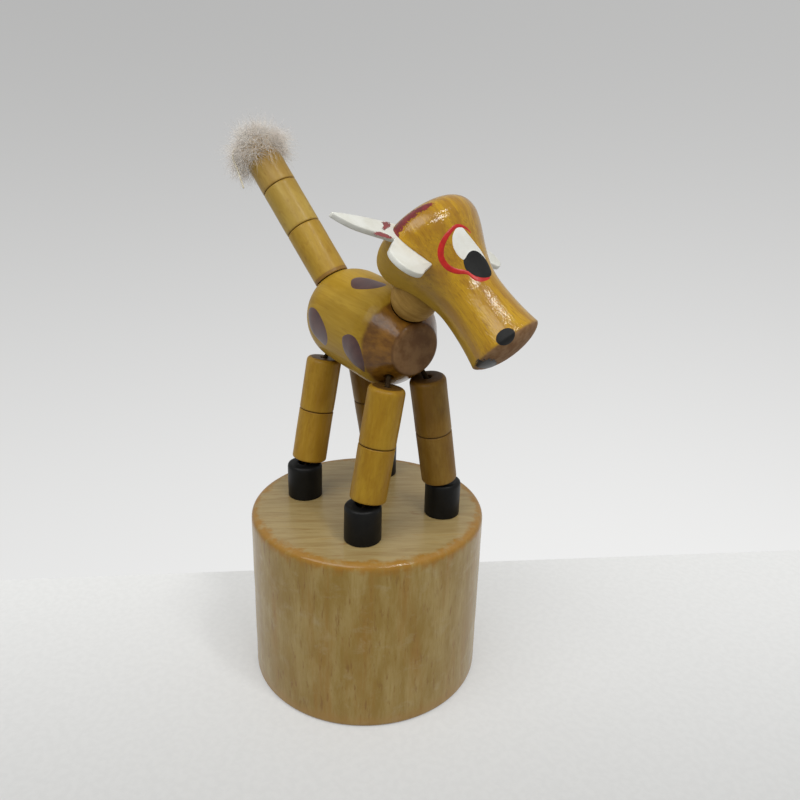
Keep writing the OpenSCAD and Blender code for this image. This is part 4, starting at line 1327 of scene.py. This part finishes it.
# Pale sheet that the toy stands on; its far edge shows against the pale room
ground = {"albedo": 0.62, "glow": 0.36, "warm": 0.985, "dim": (-40.0, 80.0, 0.88, 0.575),
          "edge": ((-61.9, -52.0), (27.9, 105.6)), "span": 900.0}
viewSide = Vector((0.83, -0.56, 0))
paper, tree, shader = principled("paperFloor")
spot = ownPlace(tree)
weave = put(tree, "TexNoise", {"Vector": spot, "Scale": 0.9, "Detail": 3.0})
shade = ranged(tree, weave.outputs["Fac"], 0.35, 0.65, 0.97, 1.0)
# Painted shade: the sheet's colour and glow grow darker towards the viewer, as the light falls off
toward = put(tree, "VectorMath", {0: spot, 1: viewSide}, operation="DOT_PRODUCT").outputs["Value"]
weaveAndPaintedFalloff = calc(tree, "MULTIPLY", shade, ranged(tree, toward, *ground["dim"]))
for channel, factor in (("Base Color", ground["albedo"]), ("Emission Color", ground["glow"])):
    lit = calc(tree, "MULTIPLY", weaveAndPaintedFalloff, factor)
    gray = put(tree, "CombineColor", {0: lit, 1: lit, 2: calc(tree, "MULTIPLY", lit, ground["warm"])})
    tree.links.new(gray.outputs[0], shader.inputs[channel])
tree.links.new(seenAsIs(tree), shader.inputs["Emission Strength"])
bumped(tree, shader, weave.outputs["Fac"], 0.12, 0.3)
setAll(shader, rough=0.9, shine=0.1)
edgeA, edgeB = (Vector((*p, 0)) for p in ground["edge"])
alongEdge = (edgeB - edgeA).normalized()
outward = Vector((alongEdge.y, -alongEdge.x, 0))
span = ground["span"]
middle = (edgeA + edgeB) / 2
near = [middle - alongEdge * span, middle + alongEdge * span]
corners = near + [near[1] + outward * span, near[0] + outward * span]
floor = addMesh("paperFloor", corners, [(0, 3, 2, 1)], paper, smooth=False)
if floor.data.polygons[0].normal.z < 0:
    floor.data.flip_normals()
floor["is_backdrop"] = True

# Pale room; its light is dim low down on the viewer's side and bright overhead and behind the toy
room = {"low": (0.85, 0.85, 0.845), "high": (0.49, 0.49, 0.487), "lowEnd": 0.05, "right": (0.587, 0.81, 0),
        "fill": (0.99, 1.0, 1.0), "fillLevel": 0.46, "fillDim": -0.36, "fillRight": 0.25}
scene = bpy.context.scene
world = bpy.data.worlds.new("paleRoom")
world.use_nodes = True
scene.world = world
tree = world.node_tree
for old in list(tree.nodes):
    tree.nodes.remove(old)
heading = put(tree, "TexCoord").outputs["Generated"]
upward = put(tree, "SeparateXYZ", {0: heading}).outputs[2]
fall = put(tree, "ValToRGB", {"Fac": ranged(tree, upward, -0.65, 0.2)})
wallEnds = ((room["lowEnd"], room["low"]), (1.0, room["high"]))
for element, (position, color) in zip(fall.color_ramp.elements, wallEnds):
    element.position = position
    element.color = (*color, 1)
rightward = put(tree, "VectorMath", {0: heading, 1: room["right"]}, operation="DOT_PRODUCT").outputs["Value"]
seen = put(tree, "Background", {"Color": fall.outputs["Color"],
                                "Strength": ranged(tree, rightward, -0.5, 0.5, 0.95, 1.03)})
facing = put(tree, "VectorMath", {0: heading, 1: viewSide}, operation="DOT_PRODUCT").outputs["Value"]
lowDown = opposite(tree, ranged(tree, upward, 0.25, 0.75))
dim = calc(tree, "MULTIPLY", ranged(tree, facing, -0.3, 0.6), lowDown)
fillLevel = calc(tree, "MULTIPLY_ADD", dim, room["fillDim"], room["fillLevel"])
fillLevel = calc(tree, "ADD", fillLevel, ranged(tree, rightward, 0.35, 0.95, 0.0, room["fillRight"]))
fill = put(tree, "Background", {"Color": room["fill"], "Strength": fillLevel})
chosen = put(tree, "MixShader", {0: seenAsIs(tree), 1: fill.outputs[0], 2: seen.outputs[0]})
put(tree, "OutputWorld", {"Surface": chosen.outputs[0]})

# Lamps by azimuth, elevation, size and power, all at one distance from the toy's middle
lamps = {"leftWindow": (-76, 50, (420, 300), 1.25), "streakLight": (-2, 45, (190, 40), 0.66),
         "bridgeLight": (12, 62, (46, 80), 0.42)}
lampAway, toyMiddle = 520, Vector((0, 0, 50))
for name, (azimuth, elevation, size, power) in lamps.items():
    data = bpy.data.lights.new(name, "AREA")
    data.shape = "RECTANGLE"
    data.size, data.size_y = size[0] * mm, size[1] * mm
    data.energy = power
    lamp = bpy.data.objects.new(name, data)
    scene.collection.objects.link(lamp)
    a, e = math.radians(azimuth), math.radians(elevation)
    back = Vector((math.cos(a) * math.cos(e), math.sin(a) * math.cos(e), math.sin(e)))
    lamp.location = (toyMiddle + back * lampAway) * mm
    lamp.rotation_mode = "QUATERNION"
    lamp.rotation_quaternion = (-back).to_track_quat("-Z", "Y")

photoView = {"lens": 34.2, "sensor": 36.0, "at": (98.281, -66.292, 93.491), "turn": (69.853, -1.496, 54.076)}
view = bpy.data.cameras.new("photoView")
view.lens, view.sensor_width = photoView["lens"], photoView["sensor"]
view.clip_start, view.clip_end = 0.005, 20.0
camera = bpy.data.objects.new("photoView", view)
scene.collection.objects.link(camera)
camera.location = Vector(photoView["at"]) * mm
camera.rotation_euler = [math.radians(v) for v in photoView["turn"]]
scene.camera = camera
scene.view_settings.view_transform = "Standard"
print("stage, lights and camera set")

low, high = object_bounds()
